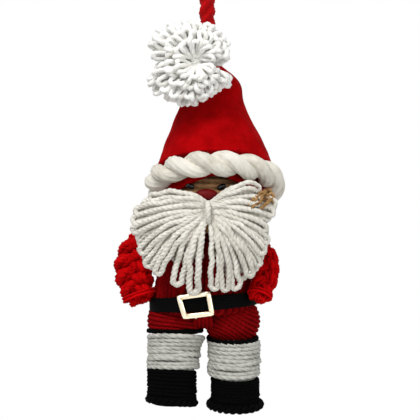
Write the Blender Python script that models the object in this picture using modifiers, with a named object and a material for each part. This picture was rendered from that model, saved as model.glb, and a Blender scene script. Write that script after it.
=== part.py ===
"""A yarn doll that hangs on a cord loop.

Felt hat with a rope brim and a pompom, a beard of wool loops tied in the middle, braided arms,
a ribbon belt with a buckle, and wound cuffs and boots on stiff cores.

Metres, +Z up. The doll faces -Y, and the origin is the inside top of the hanging loop.
Left and right are the viewer's: left is -X.
"""

import math

import bmesh
import bpy
from mathutils import Matrix, Vector

MM = 0.001

# Fits and yarns
CLEARANCE = 0.3 * MM
CUT_OVERRUN = 4.0 * MM
WOOL = 2.1 * MM
WRAP_GAP = 0.45 * MM
TIE_STRAND = 1.8 * MM
THIN_STRAND = 1.4 * MM
WELD = 0.002 * MM

# The hanging loop: the middle of the cord, chosen by hand, from the hat's tip and back to it
CORD_DIAMETER = 5.2 * MM
HANGER_ROUTE = [
    (0.30 * MM, -2.95 * MM, -30.7 * MM),
    (0.30 * MM, -3.20 * MM, -27.6 * MM),
    (0.28 * MM, -4.10 * MM, -23.4 * MM),
    (0.24 * MM, -5.90 * MM, -18.4 * MM),
    (0.22 * MM, -8.20 * MM, -13.6 * MM),
    (0.24 * MM, -9.90 * MM, -9.0 * MM),
    (0.30 * MM, -10.30 * MM, -5.4 * MM),
    (0.34 * MM, -9.20 * MM, -1.8 * MM),
    (0.38 * MM, -6.60 * MM, 1.0 * MM),
    (0.44 * MM, -3.30 * MM, 2.3 * MM),
    (0.50 * MM, 0.00 * MM, 2.7 * MM),
    (0.56 * MM, 3.30 * MM, 2.3 * MM),
    (0.64 * MM, 6.60 * MM, 1.0 * MM),
    (0.74 * MM, 9.20 * MM, -1.8 * MM),
    (0.84 * MM, 10.30 * MM, -5.4 * MM),
    (0.90 * MM, 9.90 * MM, -9.0 * MM),
    (0.90 * MM, 8.20 * MM, -13.6 * MM),
    (0.84 * MM, 5.90 * MM, -18.4 * MM),
    (0.74 * MM, 4.10 * MM, -23.4 * MM),
    (0.66 * MM, 3.20 * MM, -27.6 * MM),
    (0.60 * MM, 2.95 * MM, -30.7 * MM),
]

# Hat
HAT_TIP_DROP = 31.0 * MM
HAT_HEIGHT = 52.6 * MM
HAT_OFFSET = 3.6 * MM
HAT_TIP_OFFSET = 0.4 * MM
FELT = 1.2 * MM
TIP_RADIUS = 5.0 * MM
BRIM_TILT = math.radians(17)
BRIM_RADIUS = 23.5 * MM
ROPE_DIAMETER = 9.4 * MM
ROPE_TURNS = 7
ROPE_START = math.radians(44)
ROPE_WAIST_SHARE = 0.62
HEM_DEPTH = 0.8 * MM
EDGE_OUT_SHARE = 0.08
EDGE_UP_SHARE = 1.06
SEAT_ANGLES = [math.radians(118), math.radians(150), math.radians(180)]
# Level sections from the tip down to the edge: shares of the height, then of the edge's radius
# for half the width and half the depth, and how far the middle has moved over to the edge's
HAT_SECTION_SHARES = [
    (0.012, 0.10, 0.12, 0.00),
    (0.040, 0.165, 0.20, 0.00),
    (0.105, 0.207, 0.235, 0.00),
    (0.200, 0.345, 0.35, 0.70),
    (0.300, 0.455, 0.46, 0.90),
    (0.440, 0.537, 0.55, 0.62),
    (0.640, 0.715, 0.73, 0.82),
    (0.850, 0.905, 0.91, 1.00),
]

# Pompom
POMPOM_DIAMETER = 30.6 * MM
POMPOM_DEPTH = 21.0 * MM
POMPOM_OFFSET = 5.7 * MM
POMPOM_FORWARD = 21.4 * MM
POMPOM_DROP = 6.9 * MM
POMPOM_WAIST = 8.0 * MM
HOLD_OFFSET = -1.0 * MM
HOLD_FORWARD = 7.1 * MM
HOLD_START_SHARE = 0.25
TUFTS = 9
TUFT_SHARE = 0.045
# Down the outer side, top to bottom: shares of the radius, out and up
POMPOM_PROFILE_SHARES = [
    (0.00, 1.00), (0.45, 0.90), (0.80, 0.62), (0.97, 0.32), (0.95, 0.12),
    ("waist", 0.11), ("waist", -0.11), (0.96, -0.13), (1.00, -0.36), (0.84, -0.64),
    (0.48, -0.92), (0.00, -1.00),
]

# Head and face
HEAD_WIDTH = 37.6 * MM
HEAD_DEPTH = 33.6 * MM
HEAD_HEIGHT = 26.0 * MM
HEAD_OFFSET = 3.0 * MM
HEAD_FORWARD = 1.5 * MM
HEAD_BELOW_BRIM = 7.4 * MM
FACE_OFFSET = 0.0 * MM
EYE_SPACING = 12.4 * MM
EYE_RISE = 5.7 * MM
EYE_WIDTH = 2.6 * MM
EYE_THICKNESS = 1.8 * MM
NOSE_WIDTH = 7.8 * MM
NOSE_HEIGHT = 5.0 * MM
NOSE_THICKNESS = 3.6 * MM
NOSE_RISE = 2.7 * MM

# Beard and moustache
KNOT_OFFSET = 0.85 * MM
KNOT_BELOW_HEAD = 4.3 * MM
BEARD_REACH = 31.5 * MM
BEARD_CORE = 3.0 * MM
MOUSTACHE_CORE = 2.4 * MM
CORE_LENGTH = 11.0 * MM
LOOP_GAP = 0.45 * MM
BEARD_BULGE = 2.4 * MM
BEARD_SETTLE = 2.4 * MM
LAYER_STEP = 1.2 * MM
LOOP_STEPS = 4
LOOP_SIDEWAYS_SHARE = 0.16
LOOP_BEND_SHARE = 0.42
LAYER_START_SHARE = 0.25
SPREAD_START_SHARE = 0.6
ROOT_OUT_SHARE = 0.40
# Each loop: which side of the tie, degrees below the horizontal at its tip, share of the reach,
# and whether it lies in the front layer (-1) or the rear one (1)
BEARD_LOOP_SHARES = [
    (-1, 14.6, 0.95, -1), (-1, 21.7, 0.94, 1), (-1, 30.2, 0.98, -1), (-1, 41.1, 1.03, 1),
    (-1, 50.1, 1.01, -1), (-1, 62.5, 1.02, 1), (-1, 72.5, 1.05, -1), (-1, 80.5, 1.03, 1),
    (1, 16.5, 0.75, -1), (1, 26.9, 0.84, 1), (1, 35.9, 0.86, -1), (1, 46.5, 0.92, 1),
    (1, 55.6, 0.96, -1), (1, 66.5, 1.00, 1), (1, 75.5, 1.00, -1), (1, 83.5, 0.97, 1),
]
MOUSTACHE_LOOP_SHARES = [
    (-1, -15.0, 0.75, -1), (-1, -3.5, 0.83, 1), (-1, 5.0, 0.95, 1),
    (1, -23.9, 0.71, -1), (1, -7.5, 0.87, 1), (1, 3.5, 0.80, 1),
]

# Torso
SHOULDER_WIDTH = 30.4 * MM
WAIST_WIDTH = 40.6 * MM
WAIST_DEPTH = 24.0 * MM
NECK_DIAMETER = 10.4 * MM
NECK_HEIGHT = 2.2 * MM
TORSO_HEIGHT = 28.1 * MM
TORSO_OFFSET = -1.0 * MM
SHOULDER_DEPTH_SHARE = 0.72
SHOULDER_DROP_SHARE = 0.025
# Level sections below the shoulders: share of the height, then of the waist's width and depth
TORSO_SECTION_SHARES = [
    (0.15, 0.76, 0.86), (0.29, 0.82, 0.96), (0.48, 0.905, 1.00), (0.67, 0.96, 1.03),
    (0.83, 1.00, 1.00), (1.00, 0.99, 0.98),
]

# Belt and buckle
RIBBON_WIDTH = 6.4 * MM
RIBBON_THICKNESS = 0.6 * MM
BELT_SPAN = 42.6 * MM
BELT_DEPTH = 27.4 * MM
BELT_RISE = 3.7 * MM
BUCKLE_WIDTH = 13.8 * MM
BUCKLE_HEIGHT = 9.2 * MM
BUCKLE_STRIP = 1.8 * MM
BUCKLE_THICKNESS = 1.2 * MM
BUCKLE_CORNER = 0.8 * MM
BUCKLE_EDGE = 0.2 * MM
BUCKLE_BAR = 2.0 * MM
BUCKLE_BAR_THICKNESS = 0.6 * MM
BUCKLE_OFFSET = -2.8 * MM
BUCKLE_TILT = math.radians(-6)

# Arms
ARM_DIAMETER = 11.8 * MM
BRAID_PITCH = 8.0 * MM
BRAID_SWELL_SHARE = 0.09
ARM_REST_GAP = 1.1 * MM
ARM_BELOW_NECK = 7.7 * MM
ARM_STEPS = 3
WRIST_CLEAR_SHARE = 1.03
# From the shoulder to the end of the braid: shares of the arm's diameter, out from the body,
# forward and down, then the braid's own width there
ARM_LEFT_SHARES = [
    (0.00, 0.00, 0.00, 0.86), (0.34, 0.04, 0.14, 0.90), (0.60, 0.09, 0.38, 0.94),
    (0.72, 0.15, 0.70, 1.00), (0.71, 0.22, 1.00, 1.00), (0.63, 0.30, 1.30, 0.90),
    (0.53, 0.36, 1.56, 0.74), (0.47, 0.40, 1.74, 0.56),
]
ARM_RIGHT_SHARES = [
    (0.00, 0.00, 0.00, 0.86), (0.16, 0.12, 0.28, 0.92), (0.23, 0.29, 0.58, 0.92),
    (0.22, 0.50, 0.88, 0.86), (0.17, 0.73, 1.17, 0.74), (0.10, 0.93, 1.44, 0.60),
    (0.07, 1.05, 1.62, 0.50),
]

# Legs
LEG_DIAMETER = 21.6 * MM
LEG_SPACING = 24.2 * MM
HIP_DROP = 4.0 * MM
HIP_BALL = 18.4 * MM
HIP_WIDTH = 23.2 * MM
KNEE_DROP_LEFT = 3.8 * MM
KNEE_DROP_RIGHT = 6.0 * MM
CUFF_TURNS = 5
BOOT_TURNS = 3
RIM_DIAMETER = 2.8 * MM
SOLE_THICKNESS = 1.0 * MM
THIGH_CUT_SHARE = 0.52
# The thigh across the hip's axis, from its middle outwards: shares of half its width and of its
# ball's radius; beyond the ball it swells out under the belt
HIP_PROFILE_SHARES = [
    (0.00, 1.00), (0.25, 0.95), (0.48, 0.81), (0.62, 0.63), (0.735, 0.45), (0.79, 0.35),
    (0.89, 0.31), (0.96, 0.23), (1.00, 0.10),
]

# Numbers of facets
TUBE_FACETS = 2
WOOL_FACETS = 1
LOOP_POINTS = 20
ROUND_STEPS = 24
RING_SIDES = 8
LEG_SIDES = 20
BALL_ROWS = 12
HEAD_ROWS = 14
BEAD_SIDES = 12
BEAD_ROWS = 8
ROPE_SIDES = 10
ROPE_ROWS = 10
CORNER_STEPS = 3
SHARP_ANGLE = math.radians(50)
END_ANGLES = [math.radians(30), math.radians(58), math.radians(82)]

# Heights that follow from the sizes, all below the origin
TIP_Z = -HAT_TIP_DROP
BRIM_Z = TIP_Z - HAT_HEIGHT
HEAD_Z = BRIM_Z - HEAD_BELOW_BRIM
NECK_Z = HEAD_Z - HEAD_HEIGHT / 2 - CLEARANCE
SHOULDER_Z = NECK_Z - NECK_HEIGHT
TORSO_BOTTOM_Z = SHOULDER_Z - TORSO_HEIGHT
BELT_Z = TORSO_BOTTOM_Z + BELT_RISE
HIP_Z = TORSO_BOTTOM_Z - HIP_DROP
KNOT_Z = HEAD_Z - KNOT_BELOW_HEAD
ARM_Z = NECK_Z - ARM_BELOW_NECK

PARTS = None
CUTTERS = None


# Scene, materials and small helpers


def start_scene():
    """Removes what the scene holds and makes the two collections."""
    for obj in list(bpy.data.objects):
        bpy.data.objects.remove(obj, do_unlink=True)
    made = []
    for name in ("yarn_doll", "cutters"):
        group = bpy.data.collections.new(name)
        bpy.context.scene.collection.children.link(group)
        made.append(group)
    return made


def to_linear(value):
    """One channel of an sRGB colour, as the shader takes it."""
    return value / 12.92 if value <= 0.04045 else ((value + 0.055) / 1.055) ** 2.4


def material(name, colour, roughness, metallic=0.0):
    found = bpy.data.materials.get(name)
    if found:
        return found
    made = bpy.data.materials.new(name)
    made.use_nodes = True
    shader = made.node_tree.nodes["Principled BSDF"]
    red, green, blue = (to_linear(int(colour[i:i + 2], 16) / 255) for i in (1, 3, 5))
    shader.inputs["Base Color"].default_value = (red, green, blue, 1.0)
    shader.inputs["Roughness"].default_value = roughness
    shader.inputs["Metallic"].default_value = metallic
    return made


def red_cord():
    return material("red_cord", "#B4060A", 0.9)


def red_felt():
    return material("red_felt", "#A50508", 0.95)


def red_wool():
    return material("red_wool", "#8A0508", 0.95)


def bright_red_wool():
    return material("bright_red_wool", "#B80508", 0.95)


def white_wool():
    return material("white_wool", "#E6E2D6", 0.95)


def black_wool():
    return material("black_wool", "#0B0B0B", 0.9)


def tan_wool():
    return material("tan_wool", "#A97E55", 0.95)


def glossy_black():
    return material("black_bead", "#050505", 0.25)


def dark_red_bead():
    return material("nose_bead", "#6E0A0C", 0.5)


def black_ribbon():
    return material("black_ribbon", "#0A0A0A", 0.45)


def pale_gold():
    return material("pale_gold", "#EBD9B0", 0.3, 1.0)


def card_core():
    return material("card_core", "#B79A6E", 0.8)


def add(name, mesh, finish, at=(0, 0, 0), group=None):
    """Puts a mesh in the scene as one named, smooth-shaded piece."""
    made = bpy.data.objects.new(name, mesh)
    (group or PARTS).objects.link(made)
    made.location = at
    mesh.materials.clear()
    mesh.materials.append(finish)
    mesh.shade_smooth()
    mesh.set_sharp_from_angle(angle=SHARP_ANGLE)
    return made


def from_bmesh(name, shape, finish, at=(0, 0, 0), group=None):
    bmesh.ops.recalc_face_normals(shape, faces=shape.faces)
    mesh = bpy.data.meshes.new(name)
    shape.to_mesh(mesh)
    shape.free()
    return add(name, mesh, finish, at, group)


def as_cutter(obj):
    """Hides a helper from the build and draws it as wire."""
    for group in obj.users_collection:
        group.objects.unlink(obj)
    CUTTERS.objects.link(obj)
    obj.hide_render = True
    obj.display_type = "WIRE"
    return obj


def to_mesh_piece(curve, name, finish):
    """Turns a curve object into a welded mesh piece of the same place, and removes the curve."""
    bpy.context.view_layer.update()
    graph = bpy.context.evaluated_depsgraph_get()
    mesh = bpy.data.meshes.new_from_object(curve.evaluated_get(graph))
    shape = bmesh.new()
    shape.from_mesh(mesh)
    bmesh.ops.remove_doubles(shape, verts=shape.verts, dist=WELD)
    matrix = curve.matrix_world.copy()
    bpy.data.objects.remove(curve, do_unlink=True)
    made = from_bmesh(name, shape, finish)
    made.matrix_world = matrix
    return made


def tube_curve(name, points, diameter, facets=TUBE_FACETS, shares=None, closed=False):
    """A round bar along points; shares vary its radius from point to point."""
    data = bpy.data.curves.new(name, "CURVE")
    data.dimensions = "3D"
    data.bevel_depth = diameter / 2
    data.bevel_resolution = facets
    data.use_fill_caps = not closed
    line = data.splines.new("POLY")
    line.points.add(len(points) - 1)
    for i, (target, place) in enumerate(zip(line.points, points)):
        target.co = (*place, 1)
        target.radius = shares[i] if shares else 1
    line.use_cyclic_u = closed
    made = bpy.data.objects.new(name, data)
    PARTS.objects.link(made)
    return made


def tube(name, points, diameter, finish, facets=TUBE_FACETS, shares=None, closed=False):
    made = tube_curve(name, points, diameter, facets, shares, closed)
    made.data.materials.append(finish)
    return made


def smooth_route(points, steps):
    """Points along a Catmull-Rom curve through the given ones."""
    places = [Vector(p) for p in points]
    places = [2 * places[0] - places[1], *places, 2 * places[-1] - places[-2]]
    route = []
    for a, b, c, d in zip(places, places[1:], places[2:], places[3:]):
        for i in range(steps):
            t = i / steps
            route.append(
                (2 * b + (c - a) * t + (2 * a - 5 * b + 4 * c - d) * t ** 2
                 + (3 * b - a - 3 * c + d) * t ** 3) / 2
            )
    return [*route, places[-2]]


def ring(name, at, radius, strand, finish, axis="Z", stretch=(1, 1, 1), group=None):
    """A closed round ring of one strand about an axis; stretch makes it oval."""
    shape = bmesh.new()
    turn = {"X": Matrix.Rotation(math.radians(90), 3, "Y"), "Z": Matrix.Identity(3)}[axis]
    rows = []
    for i in range(ROUND_STEPS):
        around = 2 * math.pi * i / ROUND_STEPS
        out = Vector((math.cos(around), math.sin(around), 0))
        row = []
        for k in range(RING_SIDES):
            tilt = 2 * math.pi * k / RING_SIDES
            place = Vector((out.x * stretch[0], out.y * stretch[1], 0)) * radius
            place += out * (math.cos(tilt) * strand / 2)
            place += Vector((0, 0, math.sin(tilt) * strand / 2))
            row.append(shape.verts.new(turn @ place))
        rows.append(row)
    bridge(shape, rows, closed=True)
    return from_bmesh(name, shape, finish, at, group)


def bridge(shape, rows, closed=False):
    """Joins rows of as many points each with quads, round each row and from row to row."""
    pairs = list(zip(rows, rows[1:])) + ([(rows[-1], rows[0])] if closed else [])
    for one, other in pairs:
        for k in range(len(one)):
            nxt = (k + 1) % len(one)
            shape.faces.new((one[k], one[nxt], other[nxt], other[k]))


def loft(name, sections, finish, at=(0, 0, 0), group=None):
    """A skin over sections of as many points each, with a flat cap at both ends."""
    shape = bmesh.new()
    rows = [[shape.verts.new(p) for p in section] for section in sections]
    bridge(shape, rows)
    shape.faces.new(rows[0])
    shape.faces.new(reversed(rows[-1]))
    return from_bmesh(name, shape, finish, at, group)


def oval(width, depth, z, offset=(0.0, 0.0), steps=ROUND_STEPS, tilt=0.0):
    """One level oval section, or one tilted about X through its own middle."""
    section = []
    for i in range(steps):
        around = 2 * math.pi * i / steps
        x = offset[0] + math.cos(around) * width / 2
        y = math.sin(around) * depth / 2
        section.append(Vector((x, offset[1] + y * math.cos(tilt), z - y * math.sin(tilt))))
    return section


def ball(name, size, finish, at, columns=ROUND_STEPS, rows=BALL_ROWS, group=None):
    """An oval ball of the given width, depth and height."""
    shape = bmesh.new()
    bmesh.ops.create_uvsphere(shape, u_segments=columns, v_segments=rows, radius=1.0)
    bmesh.ops.scale(shape, vec=[side / 2 for side in size], verts=shape.verts)
    return from_bmesh(name, shape, finish, at, group)


def cut(obj, cutter):
    made = obj.modifiers.new("cut_" + cutter.name, "BOOLEAN")
    made.operation = "DIFFERENCE"
    made.object = cutter
    made.solver = "EXACT"


def fused(name, pieces, finish):
    """One body from meshes that overlap: the first joined with the others."""
    base = pieces[0]
    group = bpy.data.collections.new(name + "_pieces")
    bpy.context.scene.collection.children.link(group)
    group.hide_render = True
    for piece in pieces[1:]:
        for owner in piece.users_collection:
            owner.objects.unlink(piece)
        group.objects.link(piece)
        piece.hide_render = True
        piece.display_type = "WIRE"
    joined = base.modifiers.new("joined", "BOOLEAN")
    joined.operation = "UNION"
    joined.operand_type = "COLLECTION"
    joined.collection = group
    joined.solver = "EXACT"
    bpy.context.view_layer.update()
    graph = bpy.context.evaluated_depsgraph_get()
    mesh = bpy.data.meshes.new_from_object(base.evaluated_get(graph))
    matrix = base.matrix_world.copy()
    for piece in pieces:
        bpy.data.objects.remove(piece, do_unlink=True)
    bpy.data.collections.remove(group)
    mesh.name = name
    made = add(name, mesh, finish)
    made.matrix_world = matrix
    return made


def least_gap(points, diameter, apart):
    """The least gap of a tube to itself, between points at least so many steps apart."""
    least = min(
        (points[i] - points[k]).length
        for i in range(len(points))
        for k in range(i + apart, len(points))
    )
    return least - diameter


# Hanging loop


def make_hanger():
    tube("hanger_loop", HANGER_ROUTE, CORD_DIAMETER, red_cord())


# Hat

def brim_frame():
    """Turns a place from the brim's own level frame to the doll's."""
    turn = Matrix.Rotation(BRIM_TILT, 4, "X").inverted()
    return Matrix.Translation((HAT_OFFSET, 0, BRIM_Z)) @ turn


def brim_section(radius, z):
    place = brim_frame()
    return [place @ p for p in oval(2 * radius, 2 * radius, z)]


def make_hat():
    """A felt cone whose edge turns in over the rope's seat and hangs inside it as a hem."""
    seat = ROPE_DIAMETER / 2 + CLEARANCE
    edge_radius = BRIM_RADIUS + seat * EDGE_OUT_SHARE
    edge_z = seat * EDGE_UP_SHARE
    edge_middle = brim_frame() @ Vector((0, 0, edge_z))
    tip = Vector((HAT_TIP_OFFSET, 0, TIP_Z))
    sections = []
    for drop, width, depth, over in HAT_SECTION_SHARES:
        middle = tip.lerp(edge_middle, drop)
        middle.x = tip.x + (edge_middle.x - tip.x) * over
        sections.append(
            oval(2 * edge_radius * width, 2 * edge_radius * depth, middle.z,
                 (middle.x, middle.y), tilt=BRIM_TILT * drop ** 2)
        )
    sections.append(brim_section(edge_radius, edge_z))
    for turned in SEAT_ANGLES:
        sections.append(
            brim_section(BRIM_RADIUS + seat * math.cos(turned), seat * math.sin(turned))
        )
    sections.append(brim_section(BRIM_RADIUS - seat, -HEM_DEPTH))
    shape = bmesh.new()
    rows = [[shape.verts.new(p) for p in section] for section in sections]
    bridge(shape, rows)
    crown = shape.verts.new(tip)
    for k in range(ROUND_STEPS):
        shape.faces.new((rows[0][k], crown, rows[0][(k + 1) % ROUND_STEPS]))
    hat = from_bmesh("hat_shell", shape, red_felt())
    facing = hat.data.polygons[ROUND_STEPS]
    wall = hat.modifiers.new("felt", "SOLIDIFY")
    wall.thickness = FELT
    outward = facing.normal.dot(facing.center - edge_middle) > 0
    wall.offset = -1.0 if outward else 1.0
    wall.use_even_offset = True
    return hat


def make_brim():
    """A two-ply rope: a waisted section swept round the ring while it turns."""
    section = []
    for k in range(ROPE_SIDES):
        around = 2 * math.pi * k / ROPE_SIDES
        share = ROPE_WAIST_SHARE + (1 - ROPE_WAIST_SHARE) * math.cos(around) ** 2
        section.append((around, share * ROPE_DIAMETER / 2))
    steps = ROPE_TURNS * ROPE_ROWS
    place = brim_frame()
    shape = bmesh.new()
    rows = []
    for i in range(steps):
        around = 2 * math.pi * i / steps
        out = Vector((math.cos(around), math.sin(around), 0))
        row = []
        for turned, reach in section:
            lay = turned + ROPE_START - ROPE_TURNS * around
            spot = out * (BRIM_RADIUS + math.cos(lay) * reach)
            spot.z = math.sin(lay) * reach
            row.append(shape.verts.new(place @ spot))
        rows.append(row)
    bridge(shape, rows, closed=True)
    return from_bmesh("hat_brim", shape, white_wool())


# Pompom

def make_pompom():
    """Two tufts of a bundle tied in the middle, each scalloped where its strands part."""
    radius = POMPOM_DIAMETER / 2
    waist_share = POMPOM_WAIST / POMPOM_DIAMETER
    middle = Vector((HAT_TIP_OFFSET - POMPOM_OFFSET, -POMPOM_FORWARD, TIP_Z - POMPOM_DROP))
    shape = bmesh.new()
    rows = []
    columns = 2 * TUFTS
    for out, up in POMPOM_PROFILE_SHARES[1:-1]:
        share = waist_share if out == "waist" else out
        row = []
        for i in range(columns):
            around = 2 * math.pi * i / columns
            lobe = 1 if out == "waist" else 1 + TUFT_SHARE * (-1) ** i
            row.append(shape.verts.new((
                math.cos(around) * share * lobe * radius,
                math.sin(around) * share * lobe * POMPOM_DEPTH / 2,
                up * radius,
            )))
        rows.append(row)
    bridge(shape, rows)
    for row, (_, up) in ((rows[0], POMPOM_PROFILE_SHARES[0]), (rows[-1], POMPOM_PROFILE_SHARES[-1])):
        pole = shape.verts.new((0, 0, up * radius))
        for k in range(columns):
            shape.faces.new((row[k], row[(k + 1) % columns], pole))
    from_bmesh("pompom", shape, white_wool(), middle)
    strand = THIN_STRAND
    radius_of_tie = POMPOM_WAIST / 2 + CLEARANCE + strand / 2
    squeeze = POMPOM_DEPTH / POMPOM_DIAMETER
    oval_tie = (radius_of_tie * squeeze + (1 - squeeze) * (CLEARANCE + strand / 2)) / radius_of_tie
    loop = ring("pompom_tie_loop", middle, radius_of_tie, strand, white_wool(),
                stretch=(1, oval_tie, 1))
    hold = Vector((HOLD_OFFSET, -HOLD_FORWARD, middle.z))
    start = middle.lerp(hold, HOLD_START_SHARE)
    stalk = to_mesh_piece(tube_curve("pompom_stalk", [start, hold], strand), "pompom_stalk",
                          white_wool())
    fused("pompom_tie", [loop, stalk], white_wool())
    print("pompom swivels at", [round(c, 5) for c in middle],
          "about", [round(c, 4) for c in (hold - middle).normalized()])


# Head and face


def head_middle():
    return Vector((HEAD_OFFSET, -HEAD_FORWARD, HEAD_Z))


def on_face(x, z):
    """The place on the front of the head at x and z, and the direction out of it."""
    middle = head_middle()
    a, b, c = HEAD_WIDTH / 2, HEAD_DEPTH / 2, HEAD_HEIGHT / 2
    u, w = (x - middle.x) / a, (z - middle.z) / c
    y = middle.y - b * math.sqrt(1 - u * u - w * w)
    out = Vector((u / a, (y - middle.y) / b ** 2, w / c)).normalized()
    return Vector((x, y, z)), out


def bead(name, size, x, z, finish):
    """A flattened bead whose back lies a clearance off the face."""
    place, out = on_face(x, z)
    made = ball(name, size, finish, place + out * (CLEARANCE + size[1] / 2), BEAD_SIDES, BEAD_ROWS)
    made.rotation_mode = "QUATERNION"
    made.rotation_quaternion = Vector((0, -1, 0)).rotation_difference(out)


def make_head():
    ball("head_ball", (HEAD_WIDTH, HEAD_DEPTH, HEAD_HEIGHT), tan_wool(), head_middle(),
         rows=HEAD_ROWS)
    eye = (EYE_WIDTH, EYE_THICKNESS, EYE_WIDTH)
    for side, name in ((-1, "eye_left"), (1, "eye_right")):
        bead(name, eye, FACE_OFFSET + side * EYE_SPACING / 2, HEAD_Z + EYE_RISE, glossy_black())
    nose = (NOSE_WIDTH, NOSE_THICKNESS, NOSE_HEIGHT)
    bead("nose", nose, FACE_OFFSET, HEAD_Z + NOSE_RISE, dark_red_bead())


# Beard and moustache

def knot_middle():
    """The middle of the beard's tie, which clears the head by its own strand."""
    reach = BEARD_CORE / 2 + 2 * CLEARANCE + TIE_STRAND
    place, _ = on_face(KNOT_OFFSET, KNOT_Z)
    return Vector((place.x, place.y - reach, place.z))


def loop_route(root, tip, side, layer, bulge, settle):
    """One strand out from the tie, round the loop's end and back beside itself."""
    half = (WOOL + LOOP_GAP) / 2
    out = Vector((side, 0, 0)) * (tip - root).length * LOOP_SIDEWAYS_SHARE
    bend = root + out * abs(math.sin(math.atan2(root.z - tip.z, abs(tip.x - root.x))))
    bend += (tip - root) * LOOP_BEND_SHARE
    spine = []
    for i in range(LOOP_STEPS + 1):
        t = i / LOOP_STEPS
        spot = root * (1 - t) ** 2 + bend * 2 * t * (1 - t) + tip * t ** 2
        spot.y += layer * min(1, t / LAYER_START_SHARE) + settle * t ** 2
        spot.y -= bulge * math.sin(math.pi * t)
        spine.append(spot)
    there, back = [], []
    for i, spot in enumerate(spine):
        along = spine[min(i + 1, LOOP_STEPS)] - spine[max(i - 1, 0)]
        spread = min(1, i / LOOP_STEPS / SPREAD_START_SHARE)
        across = Vector((along.z, 0, -along.x)).normalized() * half * spread
        there.append(spot + across)
        back.append(spot - across)
    along = (spine[-1] - spine[-2]).normalized() * half
    return [*there, spine[-1] + along, *reversed(back)]


def make_bundle(name, loops, core, core_z, bulge, settle):
    """Loops that leave a bundle on both sides of the tie, fused where they meet."""
    middle = knot_middle()
    knot = middle + Vector((0, 0, core_z))
    ends = [knot + Vector((side * CORE_LENGTH / 2, 0, 0)) for side in (-1, 1)]
    bar = to_mesh_piece(tube_curve(name + "_core", ends, core), name + "_core", white_wool())
    pieces = [bar]
    for i, (side, below, share, row) in enumerate(loops):
        angle = math.radians(below)
        reach = BEARD_REACH * share - (WOOL + LOOP_GAP) / 2 - WOOL / 2
        root = knot + Vector((side * CORE_LENGTH * ROOT_OUT_SHARE, 0, 0))
        tip = middle + Vector((side * math.cos(angle), 0, -math.sin(angle))) * reach
        route = loop_route(root, tip, side, LAYER_STEP * row, bulge, settle)
        strand = tube_curve(f"{name}_loop_{i}", route, WOOL, WOOL_FACETS)
        pieces.append(to_mesh_piece(strand, f"{name}_loop_{i}", white_wool()))
    return fused(name, pieces, white_wool())


def make_beard():
    apart = CLEARANCE + LOOP_GAP
    moustache_z = (apart + MOUSTACHE_CORE) / 2
    beard_z = -(apart + BEARD_CORE) / 2
    make_bundle("moustache", MOUSTACHE_LOOP_SHARES, MOUSTACHE_CORE, moustache_z, BEARD_BULGE, 0)
    make_bundle("beard", BEARD_LOOP_SHARES, BEARD_CORE, beard_z, BEARD_BULGE, BEARD_SETTLE)
    high = moustache_z + MOUSTACHE_CORE / 2
    low = beard_z - BEARD_CORE / 2
    half_height = (high - low) / 2 + CLEARANCE + TIE_STRAND / 2
    half_depth = BEARD_CORE / 2 + CLEARANCE + TIE_STRAND / 2
    middle = knot_middle() + Vector((0, 0, (high + low) / 2))
    ring("beard_tie", middle, half_depth, TIE_STRAND, white_wool(), axis="X",
         stretch=(half_height / half_depth, 1, 1))


# Torso

def make_torso():
    """A hank drawn in at the neck, swelling to the waist, hollowed under for the two hips."""
    where = (TORSO_OFFSET, 0.0)
    shoulder_share = SHOULDER_WIDTH / WAIST_WIDTH
    sections = [
        oval(NECK_DIAMETER, NECK_DIAMETER, NECK_Z, where),
        oval(NECK_DIAMETER, NECK_DIAMETER, SHOULDER_Z, where),
        oval(SHOULDER_WIDTH, WAIST_DEPTH * SHOULDER_DEPTH_SHARE,
             SHOULDER_Z - TORSO_HEIGHT * SHOULDER_DROP_SHARE, where),
    ]
    for drop, width, depth in TORSO_SECTION_SHARES:
        width = max(width, shoulder_share)
        sections.append(
            oval(WAIST_WIDTH * width, WAIST_DEPTH * depth, SHOULDER_Z - TORSO_HEIGHT * drop, where)
        )
    torso = loft("torso", sections, red_wool())
    for side in (-1, 1):
        hollow = hip_swell(HIP_WIDTH + 3 * CLEARANCE, HIP_BALL + 3 * CLEARANCE)
        socket = from_bmesh(f"hip_socket_{side}", hollow, red_wool(), hip_middle(side))
        cut(torso, as_cutter(socket))
    strand = THIN_STRAND
    ring("neck_tie", (TORSO_OFFSET, 0, (NECK_Z + SHOULDER_Z) / 2),
         NECK_DIAMETER / 2 + CLEARANCE + strand / 2, strand, red_wool())


# Belt and buckle


def make_belt():
    """A ribbon standing on edge round the waist: two upright oval walls, closed above and below."""
    shape = bmesh.new()
    rows = []
    steps = 2 * ROUND_STEPS
    for grow, rise in ((-1, -1), (1, -1), (1, 1), (-1, 1)):
        width = BELT_SPAN + grow * RIBBON_THICKNESS
        depth = BELT_DEPTH + grow * RIBBON_THICKNESS
        z = BELT_Z + rise * RIBBON_WIDTH / 2
        rows.append([
            shape.verts.new(p) for p in oval(width, depth, z, (TORSO_OFFSET, 0), steps=steps)
        ])
    bridge(shape, rows, closed=True)
    from_bmesh("belt", shape, black_ribbon())


def block(size, at):
    """A plain block, added to a mesh under construction."""
    shape = bmesh.new()
    bmesh.ops.create_cube(shape, size=1.0)
    bmesh.ops.scale(shape, vec=size, verts=shape.verts)
    bmesh.ops.translate(shape, vec=at, verts=shape.verts)
    return shape


def rounded_corners(width, height, radius):
    """The outline of a rectangle whose corners are arcs, going round anticlockwise."""
    outline = []
    quarter = math.pi / 2
    for k, (sx, sy) in enumerate(((1, 1), (-1, 1), (-1, -1), (1, -1))):
        for i in range(CORNER_STEPS + 1):
            around = quarter * (k + i / CORNER_STEPS)
            outline.append((
                sx * (width / 2 - radius) + radius * math.cos(around),
                sy * (height / 2 - radius) + radius * math.sin(around),
            ))
    return outline


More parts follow.
